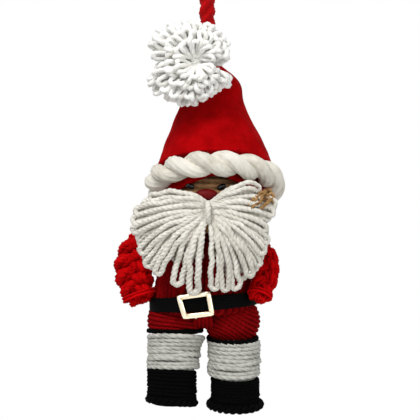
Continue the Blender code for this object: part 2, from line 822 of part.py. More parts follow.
def make_buckle():
    """A flat frame in front of the ribbon and a bar behind it, joined above and below it."""
    data = bpy.data.curves.new("buckle", "CURVE")
    data.dimensions = "2D"
    data.fill_mode = "BOTH"
    data.extrude = BUCKLE_THICKNESS / 2 - BUCKLE_EDGE
    data.bevel_depth = BUCKLE_EDGE
    data.bevel_resolution = 1
    strip = BUCKLE_STRIP
    outlines = (
        rounded_corners(BUCKLE_WIDTH - 2 * BUCKLE_EDGE, BUCKLE_HEIGHT - 2 * BUCKLE_EDGE,
                        BUCKLE_CORNER),
        rounded_corners(BUCKLE_WIDTH - 2 * strip + 2 * BUCKLE_EDGE,
                        BUCKLE_HEIGHT - 2 * strip + 2 * BUCKLE_EDGE, BUCKLE_CORNER / 2),
    )
    for outline in outlines:
        line = data.splines.new("POLY")
        line.points.add(len(outline) - 1)
        for target, (x, y) in zip(line.points, outline):
            target.co = (x, y, 0, 1)
        line.use_cyclic_u = True
    flat = bpy.data.objects.new("buckle_frame", data)
    PARTS.objects.link(flat)
    frame = to_mesh_piece(flat, "buckle_frame", pale_gold())

    behind = 2 * CLEARANCE + RIBBON_THICKNESS
    bar_z = -BUCKLE_THICKNESS / 2 - behind - BUCKLE_BAR_THICKNESS / 2
    lug = (BUCKLE_HEIGHT - RIBBON_WIDTH) / 2 - CLEARANCE
    pieces = [frame]
    bar = block((BUCKLE_BAR, BUCKLE_HEIGHT, BUCKLE_BAR_THICKNESS), (0, 0, bar_z))
    pieces.append(from_bmesh("buckle_bar", bar, pale_gold()))
    deep = behind + BUCKLE_BAR_THICKNESS + BUCKLE_THICKNESS / 2
    for side in (-1, 1):
        foot = block((BUCKLE_BAR, lug, deep), (0, side * (BUCKLE_HEIGHT - lug) / 2, -deep / 2))
        pieces.append(from_bmesh(f"buckle_lug_{side}", foot, pale_gold()))
    buckle = fused("buckle", pieces, pale_gold())

    front = belt_front_radius()
    turned = math.asin(BUCKLE_OFFSET / front)
    centre = belt_arc_middle()
    standoff = RIBBON_THICKNESS / 2 + CLEARANCE + BUCKLE_THICKNESS / 2
    stand = Matrix.Rotation(math.radians(90), 4, "X") @ Matrix.Rotation(BUCKLE_TILT, 4, "Z")
    buckle.matrix_world = (
        Matrix.Translation(centre)
        @ Matrix.Rotation(turned, 4, "Z")
        @ Matrix.Translation((0, -front - standoff, 0))
        @ stand
    )
    print("buckle turns about", [round(c, 5) for c in centre])


def belt_front_radius():
    """The radius of the belt's curve at the front."""
    return (BELT_SPAN / 2) ** 2 / (BELT_DEPTH / 2)


def belt_arc_middle():
    """The middle of that curve: the buckle slides round it."""
    return Vector((TORSO_OFFSET, belt_front_radius() - BELT_DEPTH / 2, BELT_Z))


# Arms

def shoulder_middle(side):
    """The middle of the shoulder ball, a rest gap off the torso's side."""
    ball_radius = ARM_DIAMETER * ARM_LEFT_SHARES[0][3] / 2
    reach = SHOULDER_WIDTH / 2 + ARM_REST_GAP + ball_radius
    return Vector((TORSO_OFFSET + side * reach, 0, ARM_Z))


def make_arm(side, name, shares):
    """A braid that swells over each crossing of its strands, rounded at both ends."""
    root = shoulder_middle(side)
    places = [
        root + Vector((side * out, -forward, -down)) * ARM_DIAMETER
        for out, forward, down, _ in shares
    ]
    route = smooth_route(places, ARM_STEPS)
    widths = [Vector((width, 0, 0)) for *_, width in shares]
    widths = [w.x for w in smooth_route(widths, ARM_STEPS)]
    run = 0.0
    radii = []
    for i, width in enumerate(widths):
        run += (route[i] - route[i - 1]).length if i else 0.0
        swell = BRAID_SWELL_SHARE * math.cos(2 * math.pi * run / BRAID_PITCH)
        fade = min(1, run / BRAID_PITCH)
        radii.append(width * (1 + fade * swell - fade * BRAID_SWELL_SHARE / 2))
    first, last = route[0] - route[1], route[-1] - route[-2]
    start, end = round_end(route[0], first, radii[0]), round_end(route[-1], last, radii[-1])
    points = [p for p, _ in reversed(start)] + route + [p for p, _ in end]
    shares = [r for _, r in reversed(start)] + radii + [r for _, r in end]
    tube("arm_" + name, points, ARM_DIAMETER, bright_red_wool(), shares=shares)
    wrist = len(route) - 2
    return route[wrist], (route[wrist + 1] - route[wrist - 1]).normalized(), radii[wrist]


def round_end(place, along, share):
    """Extra points that close a tube of this radius share with a round end."""
    along = along.normalized() * ARM_DIAMETER / 2 * share
    return [
        (place + along * math.sin(angle), share * math.cos(angle))
        for angle in END_ANGLES
    ]


def make_arms():
    for side, name, shares in ((-1, "left", ARM_LEFT_SHARES), (1, "right", ARM_RIGHT_SHARES)):
        wrist, along, share = make_arm(side, name, shares)
        reach = ARM_DIAMETER / 2 * share * WRIST_CLEAR_SHARE + CLEARANCE + THIN_STRAND / 2
        tie = ring("wrist_tie_" + name, wrist, reach, THIN_STRAND, bright_red_wool())
        tie.rotation_mode = "QUATERNION"
        tie.rotation_quaternion = Vector((0, 0, 1)).rotation_difference(along)


# Legs


def hip_middle(side):
    return Vector((TORSO_OFFSET + side * LEG_SPACING / 2, 0, HIP_Z))


def hip_swell(width, round_size):
    """The upper thigh, turned about the hip's axis so that it swings inside its hollow."""
    half = [(x * width / 2, reach * round_size / 2) for x, reach in HIP_PROFILE_SHARES]
    profile = [(-x, reach) for x, reach in reversed(half[1:])] + half
    shape = bmesh.new()
    rows = []
    for x, reach in profile:
        row = []
        for k in range(LEG_SIDES):
            around = 2 * math.pi * k / LEG_SIDES
            row.append(shape.verts.new((x, math.cos(around) * reach, math.sin(around) * reach)))
        rows.append(row)
    bridge(shape, rows)
    shape.faces.new(rows[0])
    shape.faces.new(reversed(rows[-1]))
    return shape


def helix(radius, strand, turns, top):
    """A winding's middle line, straight for one strand at both ends, running along its tangent."""
    pitch = strand + WRAP_GAP
    points = []
    for i in range(turns * LOOP_POINTS + 1):
        around = 2 * math.pi * i / LOOP_POINTS - math.pi / 2
        points.append(Vector((
            radius * math.cos(around),
            radius * math.sin(around),
            top - strand / 2 - pitch * i / LOOP_POINTS,
        )))
    before = (points[0] - points[1]).normalized() * strand
    after = (points[-1] - points[-2]).normalized() * strand
    before.z = after.z = 0
    return [points[0] + before, *points, points[-1] + after]


def swell_at(level):
    """How far out, as a share of half its width, the thigh still reaches that far up or down."""
    for (x, reach), (next_x, next_reach) in zip(HIP_PROFILE_SHARES, HIP_PROFILE_SHARES[1:]):
        if reach >= level >= next_reach:
            return x + (next_x - x) * (reach - level) / (reach - next_reach)
    return 1.0


def winding_height(turns):
    return turns * (WOOL + WRAP_GAP) + WOOL


def make_leg(side, name, knee_drop):
    """Thigh, tie, core, cuff, boot, rim and sole, all hanging from the hip."""
    hip = hip_middle(side)
    strand = THIN_STRAND
    thigh_bottom = knee_drop + strand / 2
    stretch = thigh_bottom / (HIP_BALL / 2) / THIGH_CUT_SHARE
    shape = hip_swell(HIP_WIDTH, HIP_BALL)
    for vert in shape.verts:
        if vert.co.z < 0:
            vert.co.z *= stretch
    cut_at = bmesh.ops.bisect_plane(
        shape, geom=shape.verts[:] + shape.edges[:] + shape.faces[:],
        plane_co=(0, 0, -thigh_bottom), plane_no=(0, 0, -1), clear_outer=True)
    rim = [e for e in cut_at["geom_cut"] if isinstance(e, bmesh.types.BMEdge)]
    bmesh.ops.contextual_create(shape, geom=rim)
    from_bmesh("thigh_" + name, shape, red_wool(), hip)

    level = (knee_drop - strand / 2) / (HIP_BALL / 2 * stretch)
    across = HIP_WIDTH / 2 * swell_at(level) + CLEARANCE + strand / 2
    deep = HIP_BALL / 2 * math.sqrt(1 - level ** 2) + CLEARANCE + strand / 2
    ring("knee_tie_" + name, hip - Vector((0, 0, knee_drop)), deep, strand, black_wool(),
         stretch=(across / deep, 1, 1))

    middle = Vector((hip.x, hip.y, 0))
    top = hip.z - thigh_bottom - CLEARANCE
    wrap_radius = (LEG_DIAMETER - WOOL) / 2
    core_radius = wrap_radius - WOOL / 2 - CLEARANCE
    cuff_height = winding_height(CUFF_TURNS)
    boot_top = top - cuff_height - WRAP_GAP
    rim_top = boot_top - winding_height(BOOT_TURNS) - CLEARANCE
    bottom = rim_top - RIM_DIAMETER
    sole_top = bottom + SOLE_THICKNESS

    for kind, turns, start, finish in (
        ("cuff", CUFF_TURNS, top, white_wool()), ("boot", BOOT_TURNS, boot_top, black_wool()),
    ):
        route = [middle + p for p in helix(wrap_radius, WOOL, turns, start)]
        tube(f"{kind}_winding_{name}", route, WOOL, finish, facets=WOOL_FACETS)
        gap = least_gap(route, WOOL, LOOP_POINTS // 2)
        print(f"{kind}_winding_{name}: least gap to itself {gap / MM:.2f} mm")

    core_height = top - CLEARANCE - sole_top - CLEARANCE
    core = bmesh.new()
    bmesh.ops.create_cone(core, cap_ends=True, segments=LEG_SIDES, radius1=core_radius,
                          radius2=core_radius, depth=core_height)
    core_middle = middle + Vector((0, 0, sole_top + CLEARANCE + core_height / 2))
    from_bmesh("leg_core_" + name, core, card_core(), core_middle)

    rim_radius = core_radius + CLEARANCE + RIM_DIAMETER / 2
    rim_middle = middle + Vector((0, 0, bottom + RIM_DIAMETER / 2))
    ring("boot_rim_" + name, rim_middle, rim_radius, RIM_DIAMETER, black_wool())

    sole = bmesh.new()
    bmesh.ops.create_cone(sole, cap_ends=True, segments=LEG_SIDES, radius1=core_radius,
                          radius2=core_radius, depth=SOLE_THICKNESS)
    sole_middle = middle + Vector((0, 0, bottom + SOLE_THICKNESS / 2))
    from_bmesh("boot_sole_" + name, sole, black_wool(), sole_middle)


def make_legs():
    make_leg(-1, "left", KNEE_DROP_LEFT)
    make_leg(1, "right", KNEE_DROP_RIGHT)


def print_pivots():
    """The joints' places, for the record."""
    for name, place in (
        ("tip", (HAT_TIP_OFFSET, 0, TIP_Z - TIP_RADIUS)),
        ("neck", (TORSO_OFFSET, 0, NECK_Z)),
        ("knot", knot_middle()),
        ("left shoulder", shoulder_middle(-1)),
        ("right shoulder", shoulder_middle(1)),
        ("left hip", hip_middle(-1)),
        ("right hip", hip_middle(1)),
    ):
        print(name, [round(c, 5) for c in place])


def main():
    make_hanger()
    make_hat()
    make_brim()
    make_pompom()
    make_head()
    make_beard()
    make_torso()
    make_belt()
    make_buckle()
    make_arms()
    make_legs()
    print_pivots()


PARTS, CUTTERS = start_scene()
main()
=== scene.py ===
"""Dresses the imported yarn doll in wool, felt, ribbon and cord.

Metres, in the CAD's own frame: +Z up, the doll faces -Y, the origin is the inside top of the loop.
"""

import math

import bmesh
import bpy
import numpy as np
from mathutils import Matrix, Vector


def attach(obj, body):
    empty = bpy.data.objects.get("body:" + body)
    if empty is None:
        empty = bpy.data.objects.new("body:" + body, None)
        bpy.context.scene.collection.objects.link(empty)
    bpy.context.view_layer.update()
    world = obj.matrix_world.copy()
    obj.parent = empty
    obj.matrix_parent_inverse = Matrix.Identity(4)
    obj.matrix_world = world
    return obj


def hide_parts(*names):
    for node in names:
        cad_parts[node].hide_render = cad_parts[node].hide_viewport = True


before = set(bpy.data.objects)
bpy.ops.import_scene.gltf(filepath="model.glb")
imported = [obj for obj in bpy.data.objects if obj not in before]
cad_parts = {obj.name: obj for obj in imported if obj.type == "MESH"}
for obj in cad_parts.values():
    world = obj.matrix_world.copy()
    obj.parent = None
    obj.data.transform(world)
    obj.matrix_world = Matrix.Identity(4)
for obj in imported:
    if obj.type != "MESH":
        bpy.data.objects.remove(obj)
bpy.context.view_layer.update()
MM = 0.001
# Kinds of node that come often
MATH, NOISE = "ShaderNodeMath", "ShaderNodeTexNoise"
STORE = "GeometryNodeStoreNamedAttribute"
chance = np.random.default_rng(11)


def mm(*values):
    """Millimetres, as an array in the metres used here."""
    return np.array(values, float) * MM


def placed(name, data):
    """A new object in the scene."""
    made = bpy.data.objects.new(name, data)
    bpy.context.scene.collection.objects.link(made)
    return made


# Camera


CAMERA_AT = mm(1.6, -426.0, -94.4)
HALF_VIEW = 84.0 / 426.0
HALF_FRAME = 210
PIXEL = 0.4 * MM

camera = placed("camera", bpy.data.cameras.new("camera"))
camera.location = CAMERA_AT
camera.rotation_euler = (math.radians(90), 0, 0)
camera.data.sensor_width = 36
camera.data.lens = 18 / HALF_VIEW
camera.data.clip_start = 0.01
camera.data.clip_end = 20
bpy.context.scene.camera = camera


def seen(x, y, depth):
    """The place at a depth (Y, in mm) that the camera sees at a pixel of its 420 x 420 frame."""
    pixel = PIXEL * (depth * MM - CAMERA_AT[1]) / -CAMERA_AT[1]
    return np.array([
        CAMERA_AT[0] + (x - HALF_FRAME) * pixel, depth * MM,
        CAMERA_AT[2] + (HALF_FRAME - y) * pixel,
    ])


# Nodes, for finishes and for trees of geometry


def linear(code):
    """An sRGB hex colour as the shader takes it."""
    parts = [int(code[i:i + 2], 16) / 255 for i in (1, 3, 5)]
    return (*[c / 12.92 if c <= 0.04045 else ((c + 0.055) / 1.055) ** 2.4 for c in parts], 1.0)


def node(tree, kind, inputs=(), **settings):
    """Adds a node with its settings; an input is a value, or a socket or node to link from."""
    made = tree.nodes.new(kind)
    for key, value in settings.items():
        setattr(made, key, value)
    for key, value in dict(inputs).items():
        if isinstance(value, bpy.types.Node):
            value = next(socket for socket in value.outputs if socket.enabled)
        if isinstance(value, bpy.types.NodeSocket):
            tree.links.new(value, made.inputs[key])
        else:
            made.inputs[key].default_value = value
    return made


def new_tree(name, **sockets):
    """A tree with the named inputs and a geometry output; gives the tree and its inputs."""
    tree = bpy.data.node_groups.new(name, "GeometryNodeTree")
    for label, kind in sockets.items():
        tree.interface.new_socket(label, in_out="INPUT", socket_type="NodeSocket" + kind)
    tree.interface.new_socket("Geometry", in_out="OUTPUT", socket_type="NodeSocketGeometry")
    return tree, node(tree, "NodeGroupInput").outputs


def close_tree(tree, geometry, finish):
    whole = node(tree, "GeometryNodeRealizeInstances", {"Geometry": geometry})
    painted = node(tree, "GeometryNodeSetMaterial", {"Geometry": whole, "Material": finish})
    node(tree, "NodeGroupOutput", {"Geometry": painted})


def changed(data, kind, inputs=(), **settings):
    """The plain mesh that one modifier, with its settings and inputs, makes of a curve or mesh."""
    made = placed("changing", data)
    step = made.modifiers.new("step", kind)
    for key, value in settings.items():
        setattr(step, key, value)
    for key, value in dict(inputs).items():
        step[key] = value
    bpy.context.view_layer.update()
    mesh = bpy.data.meshes.new_from_object(
        made.evaluated_get(bpy.context.evaluated_depsgraph_get()))
    bpy.data.objects.remove(made, do_unlink=True)
    return mesh


def grown(tree, data, **values):
    """The plain mesh that a tree makes of a curve or mesh, with the named inputs set."""
    inputs = {socket.identifier: values[socket.name] for socket in tree.interface.items_tree
              if socket.in_out == "INPUT" and socket.name in values}
    return changed(data, "NODES", inputs, node_group=tree)


STRAND_SIZES = dict(StrandRadius="Float", Plies="Int", Groove="Float", LayLength="Float",
                    Seed="Int", Finish="Material")


def plied_strand():
    """Sweeps a section of round plies along each line, turning it as spinning lays the plies."""
    tree, given = new_tree("plied_strand", Lines="Geometry", **STRAND_SIZES)
    place = node(tree, "GeometryNodeInputPosition")
    along = node(tree, "GeometryNodeSplineParameter").outputs
    length = node(tree, "GeometryNodeSplineLength").outputs["Length"]
    number = node(tree, "GeometryNodeInputIndex")
    # Each strand has a tone and a start of its own
    lot = node(tree, "FunctionNodeRandomValue", {"ID": number, "Seed": given["Seed"]})
    tone = node(tree, "GeometryNodeFieldOnDomain", {0: lot.outputs[1]}, domain="CURVE")
    # Whole turns, so that the plies of a closed ring meet
    turns = node(tree, MATH, {0: length, 1: given["LayLength"]}, operation="DIVIDE")
    turns = node(tree, MATH, {0: turns}, operation="ROUND")
    turned = node(tree, MATH, {0: turns, 1: along["Factor"], 2: tone}, operation="MULTIPLY_ADD")
    tilt = node(tree, MATH, {0: turned, 1: 2 * math.pi}, operation="MULTIPLY")
    lines = node(tree, "GeometryNodeSetCurveTilt", {"Curve": given["Lines"], "Tilt": tilt})
    lines = node(tree, STORE, {"Geometry": lines, "Name": "tone", 3: tone}, domain="CURVE")
    run = node(tree, MATH, {0: along["Length"], 1: 100.0}, operation="MULTIPLY")
    lines = node(tree, STORE, {"Geometry": lines, "Name": "run", 3: run})

    # The section: a circle drawn in between each two plies
    points = node(tree, MATH, {0: given["Plies"], 1: 4.0}, operation="MULTIPLY")
    section = node(tree, "GeometryNodeCurvePrimitiveCircle", {"Resolution": points, "Radius": 1.0})
    section = node(tree, STORE, {"Geometry": section, "Name": "around", 3: place},
                   data_type="FLOAT_VECTOR")
    inset = along["Factor"]
    for operation, value in (("MULTIPLY", given["Plies"]), ("MULTIPLY", math.pi), ("SINE", 0.0),
                             ("ABSOLUTE", 0.0), ("SUBTRACT", 1.0)):
        inset = node(tree, MATH, {0: inset, 1: value}, operation=operation)
    reach = node(tree, MATH, {0: inset, 1: given["Groove"], 2: 1.0}, operation="MULTIPLY_ADD")
    reach = node(tree, MATH, {0: reach, 1: given["StrandRadius"]}, operation="MULTIPLY")
    spot = node(tree, "ShaderNodeVectorMath", {0: place, "Scale": reach}, operation="SCALE")
    section = node(tree, "GeometryNodeSetPosition", {"Geometry": section, "Position": spot})
    wool = node(tree, "GeometryNodeCurveToMesh", {
        "Curve": lines, "Profile Curve": section, "Fill Caps": True,
        "Scale": node(tree, "GeometryNodeInputRadius"),
    })

    # The lay, for the fibres in the finish: centimetres along and millimetres across
    ring = node(tree, "GeometryNodeInputNamedAttribute", {"Name": "around"},
                data_type="FLOAT_VECTOR")
    thick = node(tree, MATH, {0: given["StrandRadius"], 1: 1000.0}, operation="MULTIPLY")
    ring = node(tree, "ShaderNodeVectorMath", {0: ring, "Scale": thick}, operation="SCALE")
    ring = node(tree, "ShaderNodeSeparateXYZ", {0: ring}).outputs
    run = node(tree, "GeometryNodeInputNamedAttribute", {"Name": "run"})
    lay = node(tree, "ShaderNodeCombineXYZ", {"X": run, "Y": ring["X"], "Z": ring["Y"]})
    wool = node(tree, STORE, {"Geometry": wool, "Name": "lay", 3: lay},
                data_type="FLOAT_VECTOR")
    for name in ("around", "run"):
        wool = node(tree, "GeometryNodeRemoveAttribute", {"Geometry": wool, "Name": name})
    close_tree(tree, wool, given["Finish"])
    return tree


PLIED_STRAND = plied_strand()


def wound_sleeve():
    """One strand wound round an upright core from top to bottom."""
    tree, given = new_tree(
        "wound_sleeve", Middle="Float", CoreRadius="Float", Top="Float", Bottom="Float",
        Wraps="Int", Dip="Float", Slope="Float", Flare="Float", Lean="Float", Wander="Float",
        **STRAND_SIZES)
    points = node(tree, MATH, {0: given["Wraps"], 1: 64.0}, operation="MULTIPLY")
    line = node(tree, "GeometryNodeCurvePrimitiveLine")
    line = node(tree, "GeometryNodeResampleCurve", {"Curve": line, "Count": points})
    share = node(tree, "GeometryNodeSplineParameter").outputs["Factor"]
    wraps = node(tree, MATH, {0: share, 1: given["Wraps"], 2: 0.22}, operation="MULTIPLY_ADD")
    around = node(tree, MATH, {0: wraps, 1: 2 * math.pi}, operation="MULTIPLY")
    # The first and last wraps lie level on what is above and below them
    level = node(tree, MATH, {0: 0.55, 1: given["Wraps"]}, operation="DIVIDE")
    rest = node(tree, MATH, {0: 1.0, 1: level}, operation="SUBTRACT")
    high = node(tree, "ShaderNodeMapRange", {
        "Value": share, "From Min": level, "From Max": rest, "To Min": given["Top"],
        "To Max": given["Bottom"],
    })
    # Hand winding: each wrap wanders a little
    loose = node(tree, NOISE, {"W": wraps, "Scale": 2.3, "Detail": 1.0}, noise_dimensions="1D")
    loose = node(tree, MATH, {0: loose, 1: 0.5}, operation="SUBTRACT")
    loose = node(tree, MATH, {0: loose, 1: given["Wander"]}, operation="MULTIPLY")
    first = node(tree, MATH, {0: 1.0, 1: share}, operation="SUBTRACT")
    first = node(tree, MATH, {0: first, 1: 4.0}, operation="POWER")
    wide = node(tree, MATH, {0: first, 1: given["Flare"], 2: given["CoreRadius"]},
                operation="MULTIPLY_ADD")
    wide = node(tree, MATH, {0: wide, 1: loose}, operation="ADD")
    cosine, sine = [node(tree, MATH, {0: around}, operation=way) for way in ("COSINE", "SINE")]
    aside = node(tree, MATH, {0: wide, 1: cosine}, operation="MULTIPLY")
    centre = node(tree, MATH, {0: first, 1: given["Lean"], 2: given["Middle"]},
                  operation="MULTIPLY_ADD")
    x = node(tree, MATH, {0: aside, 1: centre}, operation="ADD")
    y = node(tree, MATH, {0: wide, 1: sine}, operation="MULTIPLY")
    z = node(tree, MATH, {0: y, 1: given["Dip"], 2: high}, operation="MULTIPLY_ADD")
    z = node(tree, MATH, {0: aside, 1: given["Slope"], 2: z}, operation="MULTIPLY_ADD")
    z = node(tree, MATH, {0: z, 1: loose}, operation="ADD")
    spot = node(tree, "ShaderNodeCombineXYZ", {"X": x, "Y": y, "Z": z})
    line = node(tree, "GeometryNodeSetPosition", {"Geometry": line, "Position": spot})
    line = node(tree, "GeometryNodeSetCurveRadius", {"Curve": line, "Radius": 1.0})
    wool = node(tree, "GeometryNodeGroup",
                {"Lines": line, **{size: given[size] for size in STRAND_SIZES}},
                node_tree=PLIED_STRAND)
    close_tree(tree, wool, given["Finish"])
    return tree


WOUND_SLEEVE = wound_sleeve()


# Strands and skins


def smooth(points, step):
    """Points a step apart on a smooth curve through the given ones, numbers beside them too."""
    given = np.asarray(points, float)
    around = np.vstack([2 * given[0] - given[1], given, 2 * given[-1] - given[-2]])
    t = np.linspace(0, 1, 10, endpoint=False)[:, None]
    dense = [
        0.5 * (2 * b + (c - a) * t + (2 * a - 5 * b + 4 * c - d) * t**2
               + (3 * b - a - 3 * c + d) * t**3)
        for a, b, c, d in zip(around, around[1:], around[2:], around[3:])
    ]
    dense = np.vstack(dense + [given[-1:]])
    run = distance(dense[:, :3])
    even = np.linspace(0, run[-1], max(4, round(run[-1] / step)) + 1)
    return np.stack([np.interp(even, run, column) for column in dense.T], axis=1)


def distance(path):
    """How far along a path each of its points is."""
    return np.concatenate([[0], np.cumsum(np.linalg.norm(np.diff(path, axis=0), axis=1))])


def unit(rows):
    return rows / np.linalg.norm(rows, axis=-1, keepdims=True)


def wavering(path, amount, length):
    """Moves a path off its line as loose wool lies: smoothly, by about amount over length."""
    run = distance(path)
    knots = np.arange(0, run[-1] + 2 * length, length)
    push = chance.normal(0, amount, (len(knots), 3))
    ease = np.clip(np.minimum(run, run[-1] - run) / length, 0, 1)[:, None]
    return path + ease * np.stack([np.interp(run, knots, column) for column in push.T], 1)


class Wool:
    """Gathers the lines of strands of one kind, then spins them all into one piece."""

    def __init__(self, radius, lay, plies=3, groove=0.2):
        self.lines = bpy.data.curves.new("lines", "CURVE")
        self.lines.dimensions = "3D"
        self.sizes = dict(StrandRadius=radius, LayLength=lay, Plies=plies, Groove=groove, Seed=5)

    def add(self, path, size=1.0, closed=False):
        """One strand; size is its share of the radius, one number or one for each point."""
        path = np.asarray(path, float)
        line = self.lines.splines.new("POLY")
        line.points.add(len(path) - 1)
        line.points.foreach_set("co", np.column_stack([path, np.ones(len(path))]).ravel())
        line.points.foreach_set("radius", np.broadcast_to(size, len(path)).astype(float))
        line.use_cyclic_u = closed

    def piece(self, name, finish, body, nodes=()):
        mesh = grown(PLIED_STRAND, self.lines, Finish=finish, **self.sizes)
        return dress(name, mesh, finish, body, nodes)


def dress(name, mesh, finish, body, nodes=()):
    """Puts a mesh in the scene as a piece that rides on a body and stands for CAD nodes."""
    mesh.materials.clear()
    mesh.materials.append(finish)
    mesh.polygons.foreach_set("use_smooth", [True] * len(mesh.polygons))
    mesh.update()
    made = placed(name, mesh)
    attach(made, body)
    if nodes:
        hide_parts(*nodes)
    return made


def skin(rows, closed_rows=False, tip=None):
    """A mesh over rows of points, each row going round, and closed at both ends by fans.

    With a tip the first end runs to that point and the other stays open.
    """
    rows = np.asarray(rows, float)
    index = np.arange(rows[..., 0].size).reshape(rows.shape[:2])
    low, high = (index, np.roll(index, -1, 0)) if closed_rows else (index[:-1], index[1:])
    faces = np.stack([low, np.roll(low, -1, 1), np.roll(high, -1, 1), high], -1)
    faces = faces.reshape(-1, 4).tolist()
    points = rows.reshape(-1, 3).tolist()
    ends = []
    if tip is not None:
        ends = [(index[0][::-1], tip)]
    elif not closed_rows:
        ends = [(index[0][::-1], rows[0].mean(0)), (index[-1], rows[-1].mean(0))]
    for ring, middle in ends:
        faces += [[a, b, len(points)] for a, b in zip(ring.tolist(), np.roll(ring, -1).tolist())]
        points.append(middle.tolist())
    mesh = bpy.data.meshes.new("skin")
    mesh.from_pydata(points, [], faces)
    turn_outward(mesh, None if tip is None else rows.mean((0, 1)))
    return mesh


def turn_outward(mesh, middle=None):
    """Turns the faces outwards; those of an open shell, away from the given middle."""
    shape = bmesh.new()
    shape.from_mesh(mesh)
    bmesh.ops.recalc_face_normals(shape, faces=shape.faces)
    if middle is None:
        inside_out = shape.calc_volume(signed=True) < 0
    else:
        side = max(shape.faces, key=lambda face: face.calc_center_median().x)
        inside_out = side.normal.dot(side.calc_center_median() - Vector(middle)) < 0
    if inside_out:
        bmesh.ops.reverse_faces(shape, faces=shape.faces)
    shape.to_mesh(mesh)
    shape.free()


def ring_points(count):
    """Angles round a circle of radius 1, and the points there."""
    around = 2 * math.pi * np.arange(count) / count
    return around, np.stack([np.cos(around), np.sin(around), np.zeros(count)], -1)


def oval_ring(centre, across, deep, plane="XY", tilt=0.0):
    """Points round an oval; plane names the two axes it lies in, tilt lowers its front."""
    a, b = ring_points(48)[1][:, :2].T * [[across], [deep]]
    if plane == "YZ":
        return centre + np.stack([0 * a, b, a], -1)
    return centre + np.stack([a, b, b * math.tan(math.radians(tilt))], -1)


def on_ball(drop, around):
    """Points on a ball of radius 1, by the angles down from its top and round it."""
    return np.stack(np.broadcast_arrays(
        np.sin(drop) * np.cos(around), np.sin(drop) * np.sin(around), np.cos(drop)), -1)


def ball_rows(end, rows, sides):
    """Rows of points round a ball; end is the share left open at its top and its foot."""
    return on_ball(np.linspace(end, 1 - end, rows)[:, None] * math.pi, ring_points(sides)[0])


def wound_ball(end, turns, steps):
    """Points of a line wound round a ball from its top to its foot, with so many to a turn."""
    t = np.linspace(end, 1 - end, turns * steps)
    return on_ball(math.pi * t, 2 * math.pi * turns * t)


def leaned(points, degrees):
    """Turns points about Y, the right end downwards."""
    return points @ np.array(Matrix.Rotation(math.radians(degrees), 3, "Y")).T


def bent(root, control, tip, count):
    """Points on a bend from root to tip, drawn towards control, and how far along each is."""
    t = np.linspace(0, 1, count)[:, None]
    return root * (1 - t) ** 2 + control * 2 * t * (1 - t) + tip * t**2, t


def doubled(spine, side, half, reach):
    """A way out on one side of a spine, round its end and back on the other."""
    ahead = unit(np.gradient(spine, axis=0))
    across = unit(np.cross(ahead, side)) * half
    return np.vstack([spine + across, spine[-1:] + ahead[-1:] * reach, (spine - across)[::-1]])


def from_ends(path):
    """How many points each point of a path is from its nearer end."""
    count = np.arange(len(path))
    return np.minimum(count, count[::-1])


# Finishes


def new_finish(name, **values):
    """A finish with its shader's values set; gives it, its tree and the place on the piece."""
    made = bpy.data.materials.new(name)
    made.use_nodes = True
    tree = made.node_tree
    for key, value in values.items():
        tree.nodes["Principled BSDF"].inputs[key.replace("_", " ")].default_value = value
    return made, tree, node(tree, "ShaderNodeTexCoord").outputs["Object"]


def coat(tree, share, dark, light, height=None, strength=0.0, depth=0.0):
    """Colours a finish from dark to light, and dents it by a height, depth in millimetres."""
    shader = tree.nodes["Principled BSDF"]
    ramp = node(tree, "ShaderNodeValToRGB", {"Fac": share})
    for stop, colour in zip(ramp.color_ramp.elements, (dark, light)):
        stop.color = linear(colour)
    tree.links.new(ramp.outputs["Color"], shader.inputs["Base Color"])
    if height is not None:
        bump = node(tree, "ShaderNodeBump",
                    {"Height": height, "Strength": strength, "Distance": depth * MM})
        tree.links.new(bump.outputs[0], shader.inputs["Normal"])
    return shader


def spun_wool(name, light, dark, fuzz="#FFFFFF", fuzz_weight=0.15, relief=0.8, gloss=0.12,
              spread=(0.75, 1.55)):
    """Spun wool: soft scattered fibres in long streaks along each ply, with a pale fuzz."""
    made, tree, place = new_finish(
        name, Roughness=0.92, Sheen_Weight=fuzz_weight, Sheen_Roughness=0.6,
        Sheen_Tint=linear(fuzz), Specular_IOR_Level=gloss)
    lay = node(tree, "ShaderNodeAttribute", attribute_name="lay").outputs["Vector"]
    tone = node(tree, "ShaderNodeAttribute", attribute_name="tone").outputs["Fac"]
    # Fibres about 3 mm long and a third of a millimetre across, coarser than real ones
    along = node(tree, "ShaderNodeMapping", {"Vector": lay, "Scale": (3.2, 3.0, 3.0)})
    fibre = node(tree, NOISE, {"Vector": along, "Scale": 1.0, "Detail": 3.0, "Roughness": 0.6})
    # Uneven dye and spinning, in patches of a few millimetres
    patch = node(tree, NOISE, {"Vector": place, "Scale": 320.0, "Detail": 2.0})
    both = node(tree, MATH, {0: fibre, 1: patch}, operation="ADD")
    all_three = node(tree, MATH, {0: tone, 1: 0.5, 2: both}, operation="MULTIPLY_ADD")
    share = node(tree, "ShaderNodeMapRange",
                 {"Value": all_three, "From Min": spread[0], "From Max": spread[1]})
    coat(tree, share, dark, light, fibre, relief, 0.25)
    return made


def pressed_felt(name, light, dark, nap):
    """Wool felt: pressed fibres with no grain, a dry mottled surface and a soft nap."""
    made, tree, place = new_finish(
        name, Roughness=0.95, Sheen_Weight=0.02, Sheen_Roughness=0.5, Sheen_Tint=linear(nap),
        Specular_IOR_Level=0.03)
    # Fibres 0.4 mm long, then the mottling that the pressing leaves, 5 mm across
    fibre = node(tree, NOISE, {"Vector": place, "Scale": 2600.0, "Detail": 4.0, "Roughness": 0.7})
    patch = node(tree, NOISE, {"Vector": place, "Scale": 200.0, "Detail": 3.0})
    both = node(tree, MATH, {0: fibre, 1: patch}, operation="ADD")
    share = node(tree, "ShaderNodeMapRange", {"Value": both, "From Min": 0.7, "From Max": 1.3})
    coat(tree, share, dark, light, both, 0.5, 0.2)
    return made


